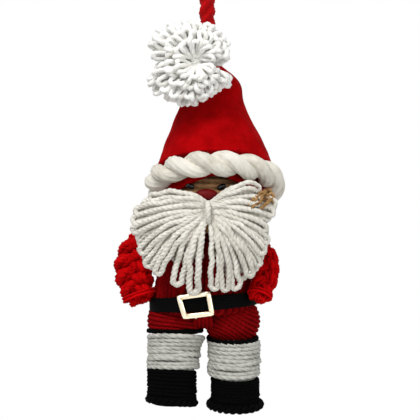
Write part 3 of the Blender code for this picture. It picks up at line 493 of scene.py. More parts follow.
def satin_ribbon():
    """Black satin ribbon: fine ribs along it, and a low sheen that breaks at the weave."""
    made, tree, place = new_finish("satin_ribbon_black", Roughness=0.65, Specular_IOR_Level=0.03)
    # Ribs a millimetre apart, coarser than real ones so that they show
    rib = node(tree, "ShaderNodeTexWave",
               {"Vector": place, "Scale": 320.0, "Distortion": 0.6, "Detail": 1.0},
               bands_direction="Z").outputs["Fac"]
    coat(tree, rib, "#020202", "#090909", rib, 0.3, 0.1)
    return made


def gold_plate():
    """Pale gold plate over a stamped buckle: bright, with a few soft scuffs 1 mm across."""
    made, tree, place = new_finish("gold_plate_pale", Metallic=1.0)
    scuff = node(tree, NOISE, {"Vector": place, "Scale": 900.0, "Detail": 3.0})
    rough = node(tree, "ShaderNodeMapRange", {"Value": scuff, "To Min": 0.22, "To Max": 0.42})
    shader = coat(tree, scuff, "#F2E0B8", "#FFF8E4")
    tree.links.new(rough.outputs[0], shader.inputs["Roughness"])
    return made


def bead(name, light, dark, roughness, gloss):
    """A small bead: smooth, with a faint cloudiness of 1.4 mm under its gloss."""
    made, tree, place = new_finish(name, Roughness=roughness, Specular_IOR_Level=gloss)
    cloud = node(tree, NOISE, {"Vector": place, "Scale": 700.0, "Detail": 2.0})
    coat(tree, cloud, dark, light)
    return made


WHITE_WOOL = spun_wool("spun_wool_white", "#F0EDE4", "#CFCABC")
# The pompom's white wool, lighter than the beard's as painted light for the strong light on the
# doll's top
POMPOM_WOOL = spun_wool("spun_wool_white_painted_light", "#FFFFFC", "#F2F0E8", fuzz_weight=0.3,
                        relief=0.5)
ROPE_WOOL = spun_wool("spun_wool_cream", "#E8E4D8", "#B8B2A0", relief=1.0)
# The cuffs' white wool, coloured grey as painted shade for the lesser light low on the doll
SHADED_CUFF_WOOL = spun_wool("spun_wool_white_painted_shade", "#C6C6BE", "#84847B", fuzz_weight=0.05)
# The red wool of the torso, thighs and ties, darker than the arms' red as painted shade where
# beard, arms and belt shade it
SHADED_RED_WOOL = spun_wool("spun_wool_red_painted_shade", "#92060A", "#600206", "#C02020", 0.03, gloss=0.05)
BRIGHT_WOOL = spun_wool("spun_wool_bright_red", "#CE0408", "#A40204", "#FF3030", 0.03,
                        gloss=0.05)
BLACK_WOOL = spun_wool("spun_wool_black", "#060606", "#020202", "#222222", 0.0, gloss=0.04)
TAN_WOOL = spun_wool("spun_wool_tan", "#D8A878", "#A07850", "#FFE0B0", 0.08)
# Tan wool; its dark brown patches are painted shade for the gaps between the strands, and spread
# leans the mix towards them
HAIR_WOOL = spun_wool("spun_wool_tan_and_painted_shade", "#BC9460", "#4A2008", "#FFE0B0", 0.03,
                      spread=(1.05, 1.45))
CORD = spun_wool("twisted_cotton_cord", "#C8060C", "#940206", "#FF6060", 0.15)
FELT = pressed_felt("wool_felt_red", "#B4050A", "#860002", "#FF2A2A")
SOLE_FELT = pressed_felt("wool_felt_black", "#0C0C0C", "#040404", "#333333")
RIBBON = satin_ribbon()
GOLD = gold_plate()
EYE_BEAD = bead("glass_bead_black", "#080808", "#020202", 0.25, 0.35)
# The nose bead's red, darkened as painted shade for the brim's shadow over it
NOSE_BEAD = bead("wooden_bead_red_painted_shade", "#74070C", "#4A0306", 0.55, 0.12)


# The hanging loop

HANGER_ROUTE = np.array([
    (0.30, -2.10, -33.4), (0.30, -2.95, -30.7), (0.30, -3.20, -27.6), (0.28, -4.10, -23.4),
    (0.24, -5.90, -18.4), (0.22, -8.20, -13.6), (0.24, -9.90, -9.0), (0.30, -10.30, -5.4),
    (0.34, -9.20, -1.8), (0.38, -6.60, 1.0), (0.44, -3.30, 2.3), (0.50, 0.00, 2.7),
    (0.56, 3.30, 2.3), (0.64, 6.60, 1.0), (0.74, 9.20, -1.8), (0.84, 10.30, -5.4),
    (0.90, 9.90, -9.0), (0.90, 8.20, -13.6), (0.84, 5.90, -18.4), (0.74, 4.10, -23.4),
    (0.66, 3.20, -27.6), (0.60, 2.95, -30.7), (0.60, 2.10, -33.4),
]) * MM
hanger_line = smooth(HANGER_ROUTE, 0.5 * MM)
hanger = Wool(3.05 * MM, 16 * MM, groove=0.34)
hanger.add(hanger_line)
hanging_cord = hanger.piece("hanging_cord", CORD, "hanger", ["hanger_loop"])


# Hat


BRIM_CENTRE = mm(3.6, 0.0, -83.6)
BRIM_TILT = math.radians(17)
TIP = mm(0.4, 0.0, -31.0)
HAT_HALF = 23.9 * MM
FELT_WALL = 1.2 * MM
ROPE_RING = 23.3 * MM
ROPE_TURNS = 7
ROPE_PHASE = 0.77
# Share of the way down, of half the width and of half the depth, and how far the cone has come
# over towards the brim's middle
HAT_TABLE = [
    (0.004, 0.045, 0.05, 0.00), (0.012, 0.10, 0.12, 0.00), (0.040, 0.165, 0.20, 0.00),
    (0.105, 0.207, 0.235, 0.00), (0.200, 0.345, 0.35, 0.70), (0.300, 0.455, 0.46, 0.90),
    (0.440, 0.535, 0.55, 0.62), (0.640, 0.705, 0.73, 0.82), (0.850, 0.885, 0.91, 1.00),
]
# Over the rope and down inside it: radius, height and how much the sides hang lower there
HEM_TABLE = [
    (22.9, 7.4, 0), (23.5, 6.2, 0), (23.6, 5.5, 0), (22.9, 5.15, 0), (21.5, 4.75, 0),
    (20.2, 3.9, 0), (19.2, 2.6, 0), (18.7, 1.2, 0), (18.6, -0.4, 0.1), (18.7, -1.6, 0.4),
    (18.9, -2.4, 0.7), (19.1, -3.0, 1.0),
]


def brim_place(points):
    """From the brim's level frame to the doll's: the front is tilted up, sides and back sag."""
    x, y, z = np.moveaxis(np.asarray(points, float), -1, 0)
    c, s = math.cos(BRIM_TILT), math.sin(BRIM_TILT)
    z = z - 0.3 * MM * (np.abs(x) / ROPE_RING) ** 3
    z = z - 2.6 * MM * np.clip(y / ROPE_RING + 0.25, 0, 1) ** 1.5
    return np.stack([x, y * c + z * s, -y * s + z * c], -1) + BRIM_CENTRE


def make_hat():
    """The felt cone: its edge turns in over the rope and hangs inside it as a hem."""
    around, out = ring_points(96)
    edge = brim_place([0, 0, 5.3 * MM])
    rows = []
    for drop, width, depth, over in smooth(HAT_TABLE, 0.02):
        middle = TIP + (edge - TIP) * drop
        middle[0] = TIP[0] + (edge[0] - TIP[0]) * over
        tilt = BRIM_TILT * drop**2
        y = out[:, 1] * HAT_HALF * depth
        rows.append(middle + np.stack([
            out[:, 0] * HAT_HALF * width, y * math.cos(tilt), -y * math.sin(tilt)], -1))
    low_side = np.clip(np.abs(out[:, 0]) * 1.7 - 0.25, 0, 1)
    for radius, z, hang in HEM_TABLE:
        ring = out * (radius + 0.7 * hang * low_side)[:, None] * MM
        ring[:, 2] = (z - 3.6 * hang * low_side) * MM
        rows.append(brim_place(ring))
    rows = np.array(rows)
    run = np.arange(len(rows))[:, None] / len(rows)
    # Shallow dents and puckers that the sewing leaves
    dent = (
        np.sin(5 * around + 9 * run) * np.sin(7 * run * math.pi) * 0.25
        + np.sin(11 * around - 14 * run + 1) * 0.10
    ) * MM
    away = unit(rows - rows.mean(1, keepdims=True))
    rows = rows + away * (dent * np.clip(run * 4, 0, 1))[..., None]
    felt = changed(skin(rows, tip=TIP), "SOLIDIFY", thickness=FELT_WALL, offset=-1.0)
    dress("felt_hat", felt, FELT, "head", ["hat_shell"])


def make_brim():
    """The rope brim: two fat soft plies laid round each other."""
    rope = Wool(3.05 * MM, 44 * MM, plies=9, groove=0.1)
    around, out = ring_points(420)
    for ply in (0, 1):
        lay = -ROPE_TURNS * around + math.pi * ply + ROPE_PHASE
        path = out * (ROPE_RING + np.cos(lay) * 1.95 * MM)[:, None]
        path[:, 2] += np.sin(lay) * 2.1 * MM
        rope.add(brim_place(path), closed=True)
    rope.piece("rope_brim", ROPE_WOOL, "head", ["hat_brim"])


make_hat()
make_brim()


# Head and face


HEAD = mm(3.0, -1.5, -91.0)
HEAD_HALF = mm(18.8, 16.8, 13.0)
# Loose strands beside the moustache: root and tip as pixels, and the depth of the tip
TUFT = [
    (271, 191, 252, 200, -23.0), (274, 194, 248, 204, -23.3), (275, 197, 251, 208, -23.5),
    (276, 201, 260, 209, -23.2), (269, 190, 260, 203, -23.4), (274, 199, 264, 207, -23.6),
]


def make_head():
    """A ball wound from top to bottom, over a plain core of the same colour."""
    half = HEAD_HALF - 1.0 * MM
    ball = Wool(1.15 * MM, 7 * MM)
    ball.add(HEAD + half * wound_ball(0.035, 14, 60))
    ball.piece("wound_head", TAN_WOOL, "head", ["head_ball"])
    core = skin(HEAD + ball_rows(0.06, 16, 40) * (half - 0.2 * MM))
    dress("head_core", core, TAN_WOOL, "head", ())
    # A few crimped strands of the head's wool stand out beside the moustache
    tuft = Wool(0.6 * MM, 4 * MM, plies=2)
    for x, y, far_x, far_y, depth in TUFT:
        a, b = seen(x, y, depth + 6), seen(far_x, far_y, depth)
        bend = mm(0, -1.2, 1.2)
        line = smooth([a, a * 0.6 + b * 0.4 + bend, a * 0.25 + b * 0.75 + bend / 2, b], 0.5 * MM)
        crimp = np.sin(distance(line) / MM * 2.1 + x)[:, None] * mm(0.1, 0.25, 0.4)
        tuft.add(line + crimp)
    tuft.piece("wool_hair_tuft", HAIR_WOOL, "head", ())


def oval_bead(name, finish, centre, half, lean, cad_node):
    """A smooth oval bead, its right end lowered by lean, in degrees."""
    rows = leaned(ball_rows(0.03, 20, 32) * mm(*half), lean) + centre
    dress(name, skin(rows), finish, "head", [cad_node])


make_head()
for side, centre, lean in (
    ("left", seen(190.0, 186, -16.4), 25), ("right", seen(221.5, 187, -17.2), -25),
):
    oval_bead(f"bead_eye_{side}", EYE_BEAD, centre, (1.8, 1.0, 1.2), lean, f"eye_{side}")
oval_bead("bead_nose", NOSE_BEAD, seen(206.3, 194.6, -19.2), (4.4, 2.2, 2.2), 0, "nose")


# Moustache and beard


KNOT = mm(0.85, -21.14, -95.3)
BEARD_STRAND = 1.12 * MM
# The pixel column between the two sides, and the depth of the loops' ends
PARTING, LOOPS_DEPTH = 208, -21


def loop(bundle, root, control, tip, spread, eye, layer):
    """A strand that runs from the tie to a loop's end and back; spread is half its width."""
    spine, t = bent(root, control, tip, 13)
    far = t[:, 0]
    spine[:, 1] += MM * (
        layer * np.clip(far / 0.3, 0, 1) - 2.6 * np.sin(math.pi * far) + 2.2 * far**2)
    wide = spread * np.clip(t / 0.5, 0.3, 1) + eye * np.exp(-((t - 0.76) / 0.11) ** 2)
    path = doubled(spine, (0, 1, 0), wide * MM, spread * 0.7 * MM)
    path = wavering(smooth(path, 0.62 * MM), 0.30 * MM, 4.0 * MM)
    size = chance.uniform(0.94, 1.08) + 0.4 * (spread - 1.15)
    bundle.add(path, size * (0.78 + 0.22 * np.clip(from_ends(path) / 10, 0, 1)))


def fringe(bundle, loops, rear=0.0):
    """Loops below the tie, each as (tip x, tip y, spread, eye, layer), tips as pixels."""
    for x, y, spread, eye, layer in loops:
        side = -1 if x < PARTING else 1
        tip, centre = seen(x, y, LOOPS_DEPTH), seen(PARTING, 212, LOOPS_DEPTH)
        tip = tip - unit(tip - centre) * (spread + 1.0) * MM
        slant = math.atan2(-(tip - centre)[2], abs((tip - centre)[0]))
        steep = math.sin(max(slant, 0)) ** 3
        root = KNOT + mm(side * 1.1, 0.4, 1.6 - 4.6 * (slant + 0.2) / 1.7)
        length = np.linalg.norm(tip - root)
        control = root + (tip - root) * 0.42
        control[0] += side * (length * 0.22 * math.cos(slant) + 2.2 * MM * steep)
        control[2] += length * 0.08 * math.cos(slant)
        loop(bundle, root, control, tip, spread, eye, layer + rear)


def arches(bundle, loops, rear=0.0):
    """Loops that rise from the tie: (root y, control x, y, tip x, y, spread, layer)."""
    for low, bend_x, bend_y, x, y, spread, layer in loops:
        side = -1 if x < PARTING else 1
        root = seen(PARTING + 3 * side, low, LOOPS_DEPTH + 0.3)
        control, tip = seen(bend_x, bend_y, LOOPS_DEPTH), seen(x, y, LOOPS_DEPTH)
        tip = tip - unit(tip - control) * (spread + 1.0) * MM
        loop(bundle, root, control, tip, spread, 0.0, layer + rear)


BEARD_FRONT = [
    (130, 231, 1.15, 0.0, -0.8), (134.5, 241, 1.15, 0.0, 0.5), (137.5, 253, 1.15, 0.1, -0.8),
    (143, 268.5, 1.15, 0.15, 0.6), (154.5, 276.5, 1.2, 0.15, -0.7), (174.5, 289, 1.55, 0.25, 0.3),
    (192.5, 296.5, 1.6, 0.25, -0.6), (269.5, 231, 1.15, 0.0, -0.8), (271.5, 243.5, 1.15, 0.0, 0.5),
    (267, 255, 1.15, 0.0, -0.8), (261.5, 268, 1.15, 0.1, 0.6), (253, 278, 1.2, 0.15, -0.7),
    (237.5, 291.5, 1.2, 0.25, 0.5), (227, 294, 1.15, 0.25, -0.6), (213.5, 293, 1.35, 0.3, 0.5),
]
# Tip x and y, spread
BEARD_MIDDLE = [
    (131, 226, 1.15), (133.5, 236, 1.15), (136, 247, 1.15), (140, 260, 1.15), (148.5, 271, 1.15),
    (171, 262, 1.1), (185, 268, 1.1), (198, 262, 1.05), (268, 224, 1.15), (270, 237, 1.15),
    (268.5, 249, 1.15), (264, 261, 1.15), (257, 272, 1.15), (245, 283, 1.15), (232, 281, 1.1),
    (216, 258, 1.1),
]
# Tip x and y
BEARD_REAR = [
    (134, 221), (134, 231), (137, 242), (140, 254), (147, 264), (161, 258), (178, 262), (193, 256),
    (267, 218), (268, 230), (266, 243), (263, 255), (256, 265), (247, 275), (236, 272), (224, 262),
]
MOUSTACHE_FRONT = [
    (202.5, 184, 190.5, 147.5, 199, 1.05, -1.0), (205, 182, 194, 139, 206.5, 1.15, 0.3),
    (207, 181, 198, 131.5, 214, 1.15, -0.8), (209.5, 182, 205, 129, 222, 1.15, 0.3),
    (202.5, 246, 180.5, 264, 191, 0.85, -1.0), (205, 240, 193.5, 279, 206, 1.15, 0.3),
    (207, 237, 200, 276, 213, 1.15, -0.8), (209.5, 236, 206, 273, 221, 1.15, 0.3),
]
MOUSTACHE_REAR = [
    (204, 184, 192, 144, 203, 1.15, 0), (206, 182, 196, 135, 210, 1.15, 0),
    (208, 182, 201, 131, 218, 1.15, 0), (203, 190, 192, 160, 201, 1.15, 0),
    (204, 240, 189, 268, 201, 1.15, 0), (206, 238, 198, 277, 209, 1.15, 0),
    (208, 238, 204, 274, 217, 1.15, 0), (203, 238, 185.5, 252, 195, 1.1, 0),
]


def make_beard():
    bundle = Wool(BEARD_STRAND, 5.8 * MM, groove=0.3)
    fringe(bundle, BEARD_FRONT)
    fringe(bundle, [(x, y, spread, 0, 0) for x, y, spread in BEARD_MIDDLE], rear=1.5)
    fringe(bundle, [(x, y, 1.2, 0, 0) for x, y in BEARD_REAR], rear=2.7)
    bundle.piece("wool_beard", WHITE_WOOL, "beard", ["beard"])
    bundle = Wool(BEARD_STRAND, 5.8 * MM, groove=0.3)
    arches(bundle, MOUSTACHE_FRONT)
    arches(bundle, MOUSTACHE_REAR, rear=1.3)
    bundle.piece("wool_moustache", WHITE_WOOL, "head", ["moustache"])
    tie = Wool(1.15 * MM, 5 * MM, groove=0.34)
    tie.add(oval_ring(KNOT + mm(0.05, 0.4, 0), 3.5 * MM, 3.4 * MM, "YZ"), closed=True)
    tie.piece("wool_beard_tie", WHITE_WOOL, "head", ["beard_tie"])


make_beard()


# Pompom


GATHER = mm(-4.0, -21.4, -38.2)
# How far the loops reach: degrees round the gather as it is seen, then millimetres
UPPER_REACH = [(8, 12.8), (33, 14.2), (50, 14.9), (63, 15.0), (82, 14.6), (97, 15.5), (117, 16.8),
               (131, 18.0), (147, 19.4), (159, 19.6), (171, 16.0)]
LOWER_REACH = [(-172, 15.0), (-161, 19.2), (-146, 20.0), (-132, 18.4), (-112, 16.6), (-95, 16.2),
               (-80, 14.4), (-62, 14.0), (-48, 14.8), (-35, 15.2), (-26, 15.3)]


def make_pompom():
    """Two tufts of loops that spring from the tie, one up and one down, fanned out evenly."""
    fluff = Wool(1.05 * MM, 8 * MM, plies=2, groove=0.18)
    for up, table in ((1, UPPER_REACH), (-1, LOWER_REACH)):
        angles, lengths = np.array(table).T
        for turn in (-46, -30, -14, 2, 18, 34, 50, 66):
            lean = math.cos(math.radians(turn))
            count = max(4, round((angles[-1] - angles[0]) * lean / 10))
            for angle in np.linspace(angles[0], angles[-1], count):
                reach = np.interp(angle, angles, lengths) * MM
                a, b = np.radians(chance.normal((angle, turn), 2.0))
                way = np.array([math.cos(a) * math.cos(b), math.sin(b), math.sin(a) * math.cos(b)])
                deep = (9.0 if b < 0 else 12.5) * MM
                length = 1 / math.hypot(math.cos(b) / reach, math.sin(b) / deep)
                tip = GATHER + way * (length * chance.uniform(0.93, 1.04) - 1.0 * MM)
                root = GATHER + np.array([way[0], way[1], up * 0.7]) * 1.3 * MM
                bend = GATHER + (tip - GATHER) * 0.42
                bend[2] += up * 1.6 * MM * (1 - abs(way[2]))
                spine, t = bent(root, bend, tip, 6)
                side = unit(chance.normal(0, 1, 3))
                half = 1.15 * MM * np.clip(t / 0.8, 0.2, 1)
                path = smooth(doubled(spine, side, half, 1.1 * MM), 0.9 * MM)
                fluff.add(path, 0.55 + 0.45 * np.clip(from_ends(path) / 6, 0, 1))
    fluff.piece("wool_pompom", POMPOM_WOOL, "pompom", ["pompom"])
    tie = Wool(0.6 * MM, 5 * MM)
    for z in (-0.5, 0.5):
        tie.add(oval_ring(GATHER + mm(0, 0.6, z), 2.4 * MM, 2.4 * MM), closed=True)
    hold = mm(-1.0, -7.0, -37.9)
    tie.add(smooth([GATHER + mm(0.6, 2.4, 0), (GATHER + hold) / 2, hold], 0.7 * MM))
    tie.piece("wool_pompom_tie", POMPOM_WOOL, "pompom", ["pompom_tie"])


make_pompom()


# Torso


TORSO_X = -1.0 * MM
TORSO_TABLE = np.array([
    # z, half the width, half the depth
    (-102.6, 5.0, 5.0), (-106.2, 5.2, 5.2), (-107.4, 12.6, 7.6), (-108.6, 14.8, 9.2),
    (-110.7, 15.6, 10.3), (-114.6, 16.8, 11.5), (-120.0, 18.4, 12.0), (-125.3, 19.5, 12.4),
    (-129.8, 20.3, 12.0), (-133.4, 20.1, 11.8), (-134.5, 18.8, 11.0), (-134.7, 15.0, 9.4),
])


def make_torso():
    """A hank of wool folded over the neck: strands run down over a stuffed core."""
    strand, count = 1.3 * MM, 46
    hank = Wool(strand, 8 * MM)
    z, width, depth = TORSO_TABLE.T
    for i in range(count):
        around = 2 * math.pi * (i + 0.5) / count
        lean = 0.10 * math.sin(3 * around) + chance.normal(0, 0.015)
        turned = around + lean * (z + 108) / 27
        path = smooth(np.stack([
            TORSO_X + np.cos(turned) * (width * MM - strand * 0.8),
            np.sin(turned) * (depth * MM - strand * 0.8), z * MM,
        ], -1), 0.7 * MM)
        hank.add(path, np.interp(-path[:, 2] / MM, [104, 107, 112], [0.4, 0.6, 1.0]))
    hank.piece("wool_torso", SHADED_RED_WOOL, "torso", ["torso"])
    out = ring_points(48)[1]
    rows = [out * (width - strand, depth - strand, 0) + (TORSO_X, 0, z)
            for z, width, depth in smooth(TORSO_TABLE * MM, 0.8 * MM)]
    dress("torso_core", skin(rows), SHADED_RED_WOOL, "torso", ())
    # Where the hank parts into the legs: strands that turn under from front to back
    fork = Wool(1.0 * MM, 6 * MM)
    for i in range(5):
        x = -3.9 + 1.35 * i
        low = -140.5 - 0.2 * abs(x + 2.0)
        lean = 0.2 * (x + 1.2)
        fork.add(smooth(np.array([
            (x - lean, -10.4, -131.5), (x, -9.3, -135.5), (x + lean, -7.0, low + 1.8),
            (x + lean, -3.0, low), (x + lean, 3.0, low), (x + lean, 7.0, low + 1.8),
            (x, 9.3, -135.5), (x - lean, 10.4, -131.5),
        ]) * MM, 0.8 * MM))
    fork.piece("wool_fork", SHADED_RED_WOOL, "torso", ())
    tie = Wool(0.8 * MM, 6 * MM)
    tie.add(oval_ring(mm(-1.0, 0, -105.4), 6.0 * MM, 6.0 * MM), closed=True)
    tie.piece("wool_neck_tie", SHADED_RED_WOOL, "torso", ["neck_tie"])


make_torso()


# Belt and buckle


BELT_Z = -130.6 * MM
BELT_SLOPE = math.tan(math.radians(3.8))
WAIST_HALF = mm(21.3, 13.7)


def make_belt():
    """The ribbon round the waist, a little higher at its right end, with soft edges."""
    around, out = ring_points(160)
    profile = [
        (-0.30, -2.6), (-0.18, -2.75), (0.18, -2.75), (0.30, -2.6), (0.36, -1.5), (0.38, 0),
        (0.36, 1.5), (0.30, 2.6), (0.18, 2.75), (-0.18, 2.75), (-0.30, 2.6), (-0.26, 0),
    ]
    ripple = 0.12 * np.sin(9 * around + 1) + 0.08 * np.sin(17 * around)
    # The buckle presses it flat, so there it is wider
    flat = 1 + 0.2 * np.exp(-(np.arctan2(out[:, 0] + 0.2, -out[:, 1]) / 0.4) ** 2)
    rows = []
    for push, rise in profile:
        reach = (push + ripple * (rise / 3.2) ** 2) * MM
        x = TORSO_X + out[:, 0] * (WAIST_HALF[0] + reach)
        rows.append(np.stack([
            x, out[:, 1] * (WAIST_HALF[1] + reach),
            BELT_Z + rise * flat * MM + (x - TORSO_X) * BELT_SLOPE,
        ], -1))
    dress("ribbon_belt", skin(rows, closed_rows=True), RIBBON, "torso", ["belt"])


def make_buckle():
    """A frame with rounded strips, drawn corner to corner, and a bar behind the ribbon."""
    outer = np.array([seen(x, y, -15.2) for x, y in (
        (176.8, 296.6), (210.0, 292.0), (214.0, 314.6), (183.2, 318.2))])
    middle = outer.mean(0)
    corners = middle + (outer - middle) * 0.88
    line = []
    for i in range(4):
        a, b, c = corners[i - 1], corners[i], corners[(i + 1) % 4]
        line += [b + unit(a - b) * 0.5 * MM, b, b + unit(c - b) * 0.5 * MM]
        line += [b + (c - b) * s for s in (0.3, 0.5, 0.7)]
    line = np.array(line)
    ahead = unit(np.roll(line, -1, 0) - np.roll(line, 1, 0))
    across = unit(np.cross(ahead, (0, 1, 0)))
    half, deep, edge = 0.95 * MM, 0.6 * MM, 0.28 * MM
    rows = [
        line + across * x + np.array([0, y, 0])
        for x, y in (
            (-half + edge, -deep), (-half, -deep + edge), (-half, deep - edge),
            (-half + edge, deep), (half - edge, deep), (half, deep - edge),
            (half, -deep + edge), (half - edge, -deep),
        )
    ]
    dress("gold_buckle_frame", skin(rows, closed_rows=True), GOLD, "buckle", ["buckle"])
    bar = [
        (middle[0], y * MM, middle[2] + rise * MM)
        for y, rise in ((-15.0, 4.7), (-13.4, 4.6), (-12.95, 3.6), (-12.9, 0), (-12.95, -3.6),
                        (-13.4, -4.6), (-15.0, -4.7))
    ]
    strip = Wool(0.45 * MM, 30 * MM, groove=0.0)
    strip.add(smooth(bar, 0.5 * MM))
    strip.piece("gold_buckle_bar", GOLD, "buckle", ())


make_belt()
make_buckle()


# Arms: three fat strands braided, each of five yarns


ARM_PATHS = {
    # x, forward, z and half the braid's width along each arm, in mm
    "left": [
        (-22.0, 0.5, -109.6, 4.2), (-24.8, 0.3, -107.6, 6.0), (-27.4, -0.1, -109.6, 7.2),
        (-28.7, -0.8, -114.0, 8.1), (-29.0, -1.5, -118.8, 8.4), (-28.0, -2.3, -123.4, 8.0),
        (-26.6, -3.1, -127.6, 6.8), (-25.4, -3.8, -131.0, 5.0),
    ],
    "right": [
        (19.2, 0.3, -109.8, 5.0), (21.8, -0.6, -111.4, 5.8), (23.1, -2.6, -115.2, 6.4),
        (23.3, -4.9, -119.0, 6.3), (22.6, -7.3, -122.9, 5.6), (21.4, -9.5, -126.5, 4.8),
        (20.2, -11.3, -129.7, 3.7),
    ],
}


def make_arm(name):
    line = smooth(np.array(ARM_PATHS[name]) * MM, 0.6 * MM)
    path, width = line[:, :3], line[:, 3]
    ahead = unit(np.gradient(path, axis=0))
    wide = unit(np.cross(ahead, (0.0, -1.0, 0.0)))
    deep = unit(np.cross(wide, ahead))
    run = distance(path)
    size = width * 0.47 * np.clip((run + 2 * MM) / (4 * MM), 0.5, 1)
    braid = Wool(size.max() * 0.43, 6 * MM, groove=0.24)
    for i in range(3):
        turn = 2 * math.pi * (run / (15.5 * MM) + i / 3)
        middle = (
            path + wide * (np.sin(turn) * width * 0.52)[:, None]
            + deep * (np.sin(2 * turn) * width * 0.27)[:, None]
        )
        for k in range(5):
            around = 2 * math.pi * (k / 5 - run / (30 * MM))
            braid.add(wavering(
                middle + wide * (np.cos(around) * size * 0.58)[:, None]
                + deep * (np.sin(around) * size * 0.58)[:, None], 0.12 * MM, 3 * MM,
            ), size / size.max())
    braid.piece(f"braid_arm_{name}", BRIGHT_WOOL, f"arm_{name}", [f"arm_{name}"])
    spot = len(path) - 6
    tie = Wool(0.55 * MM, 5 * MM)
    out = ring_points(36)[1]
    for shift in (-0.6, 0.6):
        tie.add(
            path[spot] + ahead[spot] * shift * MM
            + wide[spot] * (out[:, :1] * width[spot] * 1.02)
            + deep[spot] * (out[:, 1:2] * width[spot] * 0.85), closed=True)
    tie.piece(f"wool_wrist_tie_{name}", BRIGHT_WOOL, f"arm_{name}", [f"wrist_tie_{name}"])


for name in ARM_PATHS:
    make_arm(name)


# Legs


# Millimetres and degrees. The thigh's middle is hip_shift beside hip_x, and the thigh ends foot
# below it. lean is that of the thigh's winding, dips are those of the front. The first and last
# wraps start "in" from the top or end "out" past the foot.
LEGS = {
    "left": dict(hip_x=-13.1, hip_shift=0.7, foot=4.4, lean=5, knee=4.0, tie_half=10.5,
                 tie_dip=-4, cuff_top=-143.4, cuff_in=1.8, cuff_flare=1.7, cuff_lean=1.7,
                 cuff_dip=-8, boot_x=-13.7, boot_in=0.3, boot_out=0.8, boot_radius=9.0,
                 boot_dip=-6, boot_slope=-5, rim_out=2.2, rim_radius=9.1),
    "right": dict(hip_x=11.1, hip_shift=-0.5, foot=7.2, lean=32, knee=6.9, tie_half=9.6,
                  tie_dip=4, cuff_top=-145.6, cuff_in=1.15, cuff_flare=0.3, cuff_lean=0.0,
                  cuff_dip=4, boot_x=11.6, boot_in=1.2, boot_out=-0.4, boot_radius=8.8,
                  boot_dip=5, boot_slope=0, rim_out=1.2, rim_radius=10.1),
}
HIP_Z = -138.6
THIGH_HALF = 11.0
THIGH_BALL = 9.2
CUFF_HEIGHT = 13.7
BOOT_DROP = 15.05
BOOT_HEIGHT = 10.0
RIM_PLY = 0.72 * MM
# Across the thigh from its middle: shares of half its width and of its ball's radius
THIGH_PROFILE = np.array([
    (0, 1), (0.35, 0.96), (0.6, 0.87), (0.78, 0.73), (0.9, 0.56), (0.97, 0.38), (1, 0.2)])


def on_thigh(ways, foot, under):
    """Where lines from the hip's middle leave the stuffed thigh, less a depth under it."""
    reach = np.linspace(0.5, THIGH_HALF, 500)
    points = ways[:, None] * reach[:, None]
    wide = np.interp(np.abs(points[..., 0]) / THIGH_HALF, *THIGH_PROFILE.T) * THIGH_BALL
    inside = (np.hypot(points[..., 1], points[..., 2]) < wide) & (points[..., 2] > -foot)
    far = reach[np.maximum(inside.sum(1) - 1, 0)]
    return ways * (far - under)[:, None] * MM


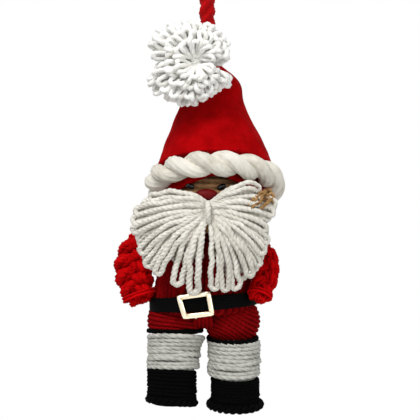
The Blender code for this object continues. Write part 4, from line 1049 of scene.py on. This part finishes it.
def make_leg(name, hip_x, hip_shift, foot, lean, knee, tie_half, tie_dip, cuff_top, cuff_in,
             cuff_flare, cuff_lean, cuff_dip, boot_x, boot_in, boot_out, boot_radius, boot_dip,
             boot_slope, rim_out, rim_radius):
    """A stuffed thigh over a winding of white wool and one of black, with a rim at its foot."""
    body = f"leg_{name}"
    hip = mm(hip_x + hip_shift, 0, HIP_Z)
    thigh = Wool(0.98 * MM, 6 * MM)
    thigh.add(hip + on_thigh(leaned(wound_ball(0.03, 18, 56), lean), foot, 0.75))
    thigh.piece(f"wool_thigh_{name}", SHADED_RED_WOOL, body, [f"thigh_{name}"])
    rows = [hip + on_thigh(row, foot, 1.2) for row in ball_rows(0.06, 18, 40)]
    core = dress(f"thigh_core_{name}", skin(rows), SHADED_RED_WOOL, body, ())
    tie = Wool(1.0 * MM, 6 * MM)
    tie.add(oval_ring(hip - mm(0, 0, knee), tie_half * MM, 10.2 * MM, tilt=tie_dip), closed=True)
    tie.piece(f"wool_knee_tie_{name}", BLACK_WOOL, body, [f"knee_tie_{name}"])

    boot_top = cuff_top - BOOT_DROP
    boot_foot = boot_top - BOOT_HEIGHT
    dip, slope = math.tan(math.radians(boot_dip)), math.tan(math.radians(boot_slope))
    for part, finish, slot, values in (
        ("cuff", SHADED_CUFF_WOOL, "white_wool", dict(
            Middle=hip_x * MM, CoreRadius=9.62 * MM, Top=(cuff_top - cuff_in) * MM,
            Bottom=(cuff_top - CUFF_HEIGHT) * MM, Wraps=9, Dip=math.tan(math.radians(cuff_dip)),
            Slope=0.0, Flare=cuff_flare * MM, Lean=cuff_lean * MM, Wander=1.8 * MM,
            StrandRadius=1.08 * MM, Plies=3, Groove=0.4, LayLength=9 * MM, Seed=3)),
        ("boot", BLACK_WOOL, "black_wool", dict(
            Middle=boot_x * MM, CoreRadius=boot_radius * MM, Top=(boot_top - boot_in) * MM,
            Bottom=(boot_foot - boot_out) * MM, Wraps=8, Dip=dip, Slope=slope / 2, Flare=0.0,
            Lean=0.0, Wander=0.8 * MM, StrandRadius=1.1 * MM, Plies=3, Groove=0.3,
            LayLength=6 * MM, Seed=4)),
    ):
        mesh = grown(WOUND_SLEEVE, bpy.data.meshes.new("holder"), Finish=finish, **values)
        dress(f"wool_{part}_{name}", mesh, finish, body, [f"{part}_winding_{name}"])
    rim = Wool(0.95 * MM, 7 * MM)
    around, out = ring_points(150)
    for ply in (0, math.pi):
        lay = 12 * around + ply
        path = out * (rim_radius * MM + RIM_PLY * np.cos(lay))[:, None]
        path[:, 0] += boot_x * MM
        path[:, 2] = (
            (boot_foot - rim_out) * MM + RIM_PLY * np.sin(lay) + path[:, 1] * dip
            + out[:, 0] * 9 * MM * slope)
        rim.add(path, closed=True)
    rim.piece(f"wool_boot_rim_{name}", BLACK_WOOL, body, [f"boot_rim_{name}"])
    # The leg cores take the cuffs' wool with its grey painted shade, the soles black felt
    for part, finish in (("leg_core", SHADED_CUFF_WOOL), ("boot_sole", SOLE_FELT)):
        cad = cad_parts[f"{part}_{name}"]
        cad.data.materials.clear()
        cad.data.materials.append(finish)


for name, values in LEGS.items():
    make_leg(name, **values)


# Floor, light and sky


def eye_sees(tree):
    """1 for what the eye sees, straight, mirrored or through glass; 0 for light on its way."""
    rays = node(tree, "ShaderNodeLightPath").outputs
    eye = node(tree, MATH, {0: rays["Is Camera Ray"], 1: rays["Is Glossy Ray"]},
               operation="MAXIMUM")
    return node(tree, MATH, {0: eye, 1: rays["Is Transmission Ray"]}, operation="MAXIMUM")


def make_floor():
    """A pale matt floor well below the doll, lifted a little for the eye so that it is bright."""
    made, tree, place = new_finish("studio_floor_matt", Roughness=0.9)
    shader = coat(tree, node(tree, NOISE, {"Vector": place, "Scale": 3.0}), "#F0F0F0", "#F6F6F6")
    lift = node(tree, MATH, {0: eye_sees(tree), 1: 0.45}, operation="MULTIPLY")
    tree.links.new(lift.outputs[0], shader.inputs["Emission Strength"])
    wide, low = 1.75, -0.55
    mesh = bpy.data.meshes.new("floor")
    mesh.from_pydata(
        [(-wide, -wide, low), (wide, -wide, low), (wide, wide, low), (-wide, wide, low)],
        [], [(0, 1, 2, 3)])
    mesh.materials.append(made)
    placed("floor", mesh)


# The doll's middle, which the lights face
LIT = (0.0, 0.0, -0.09)


def soft_light(name, place, size, power):
    data = bpy.data.lights.new(name, "AREA")
    data.shape, data.size, data.energy = "DISK", size, power
    made = placed(name, data)
    made.location = place
    made.rotation_euler = (Vector(LIT) - Vector(place)).to_track_quat("-Z", "Y").to_euler()


def make_sky():
    """Even soft light from all round, which the eye sees as plain white."""
    world = bpy.data.worlds.new("studio")
    world.use_nodes = True
    bpy.context.scene.world = world
    tree = world.node_tree
    power = node(tree, "ShaderNodeMapRange",
                 {"Value": eye_sees(tree), "To Min": 0.42, "To Max": 1.0})
    sky = tree.nodes["Background"]
    sky.inputs["Color"].default_value = linear("#FFFFFF")
    tree.links.new(power.outputs[0], sky.inputs["Strength"])


make_floor()
make_sky()
soft_light("key", (-0.25, -0.55, 0.50), 0.5, 5.5)
soft_light("fill", (0.6, -0.6, 0.05), 0.6, 1.8)
soft_light("rim", (0.1, 0.6, 0.4), 0.5, 1.2)
bpy.context.scene.view_settings.view_transform = "Standard"
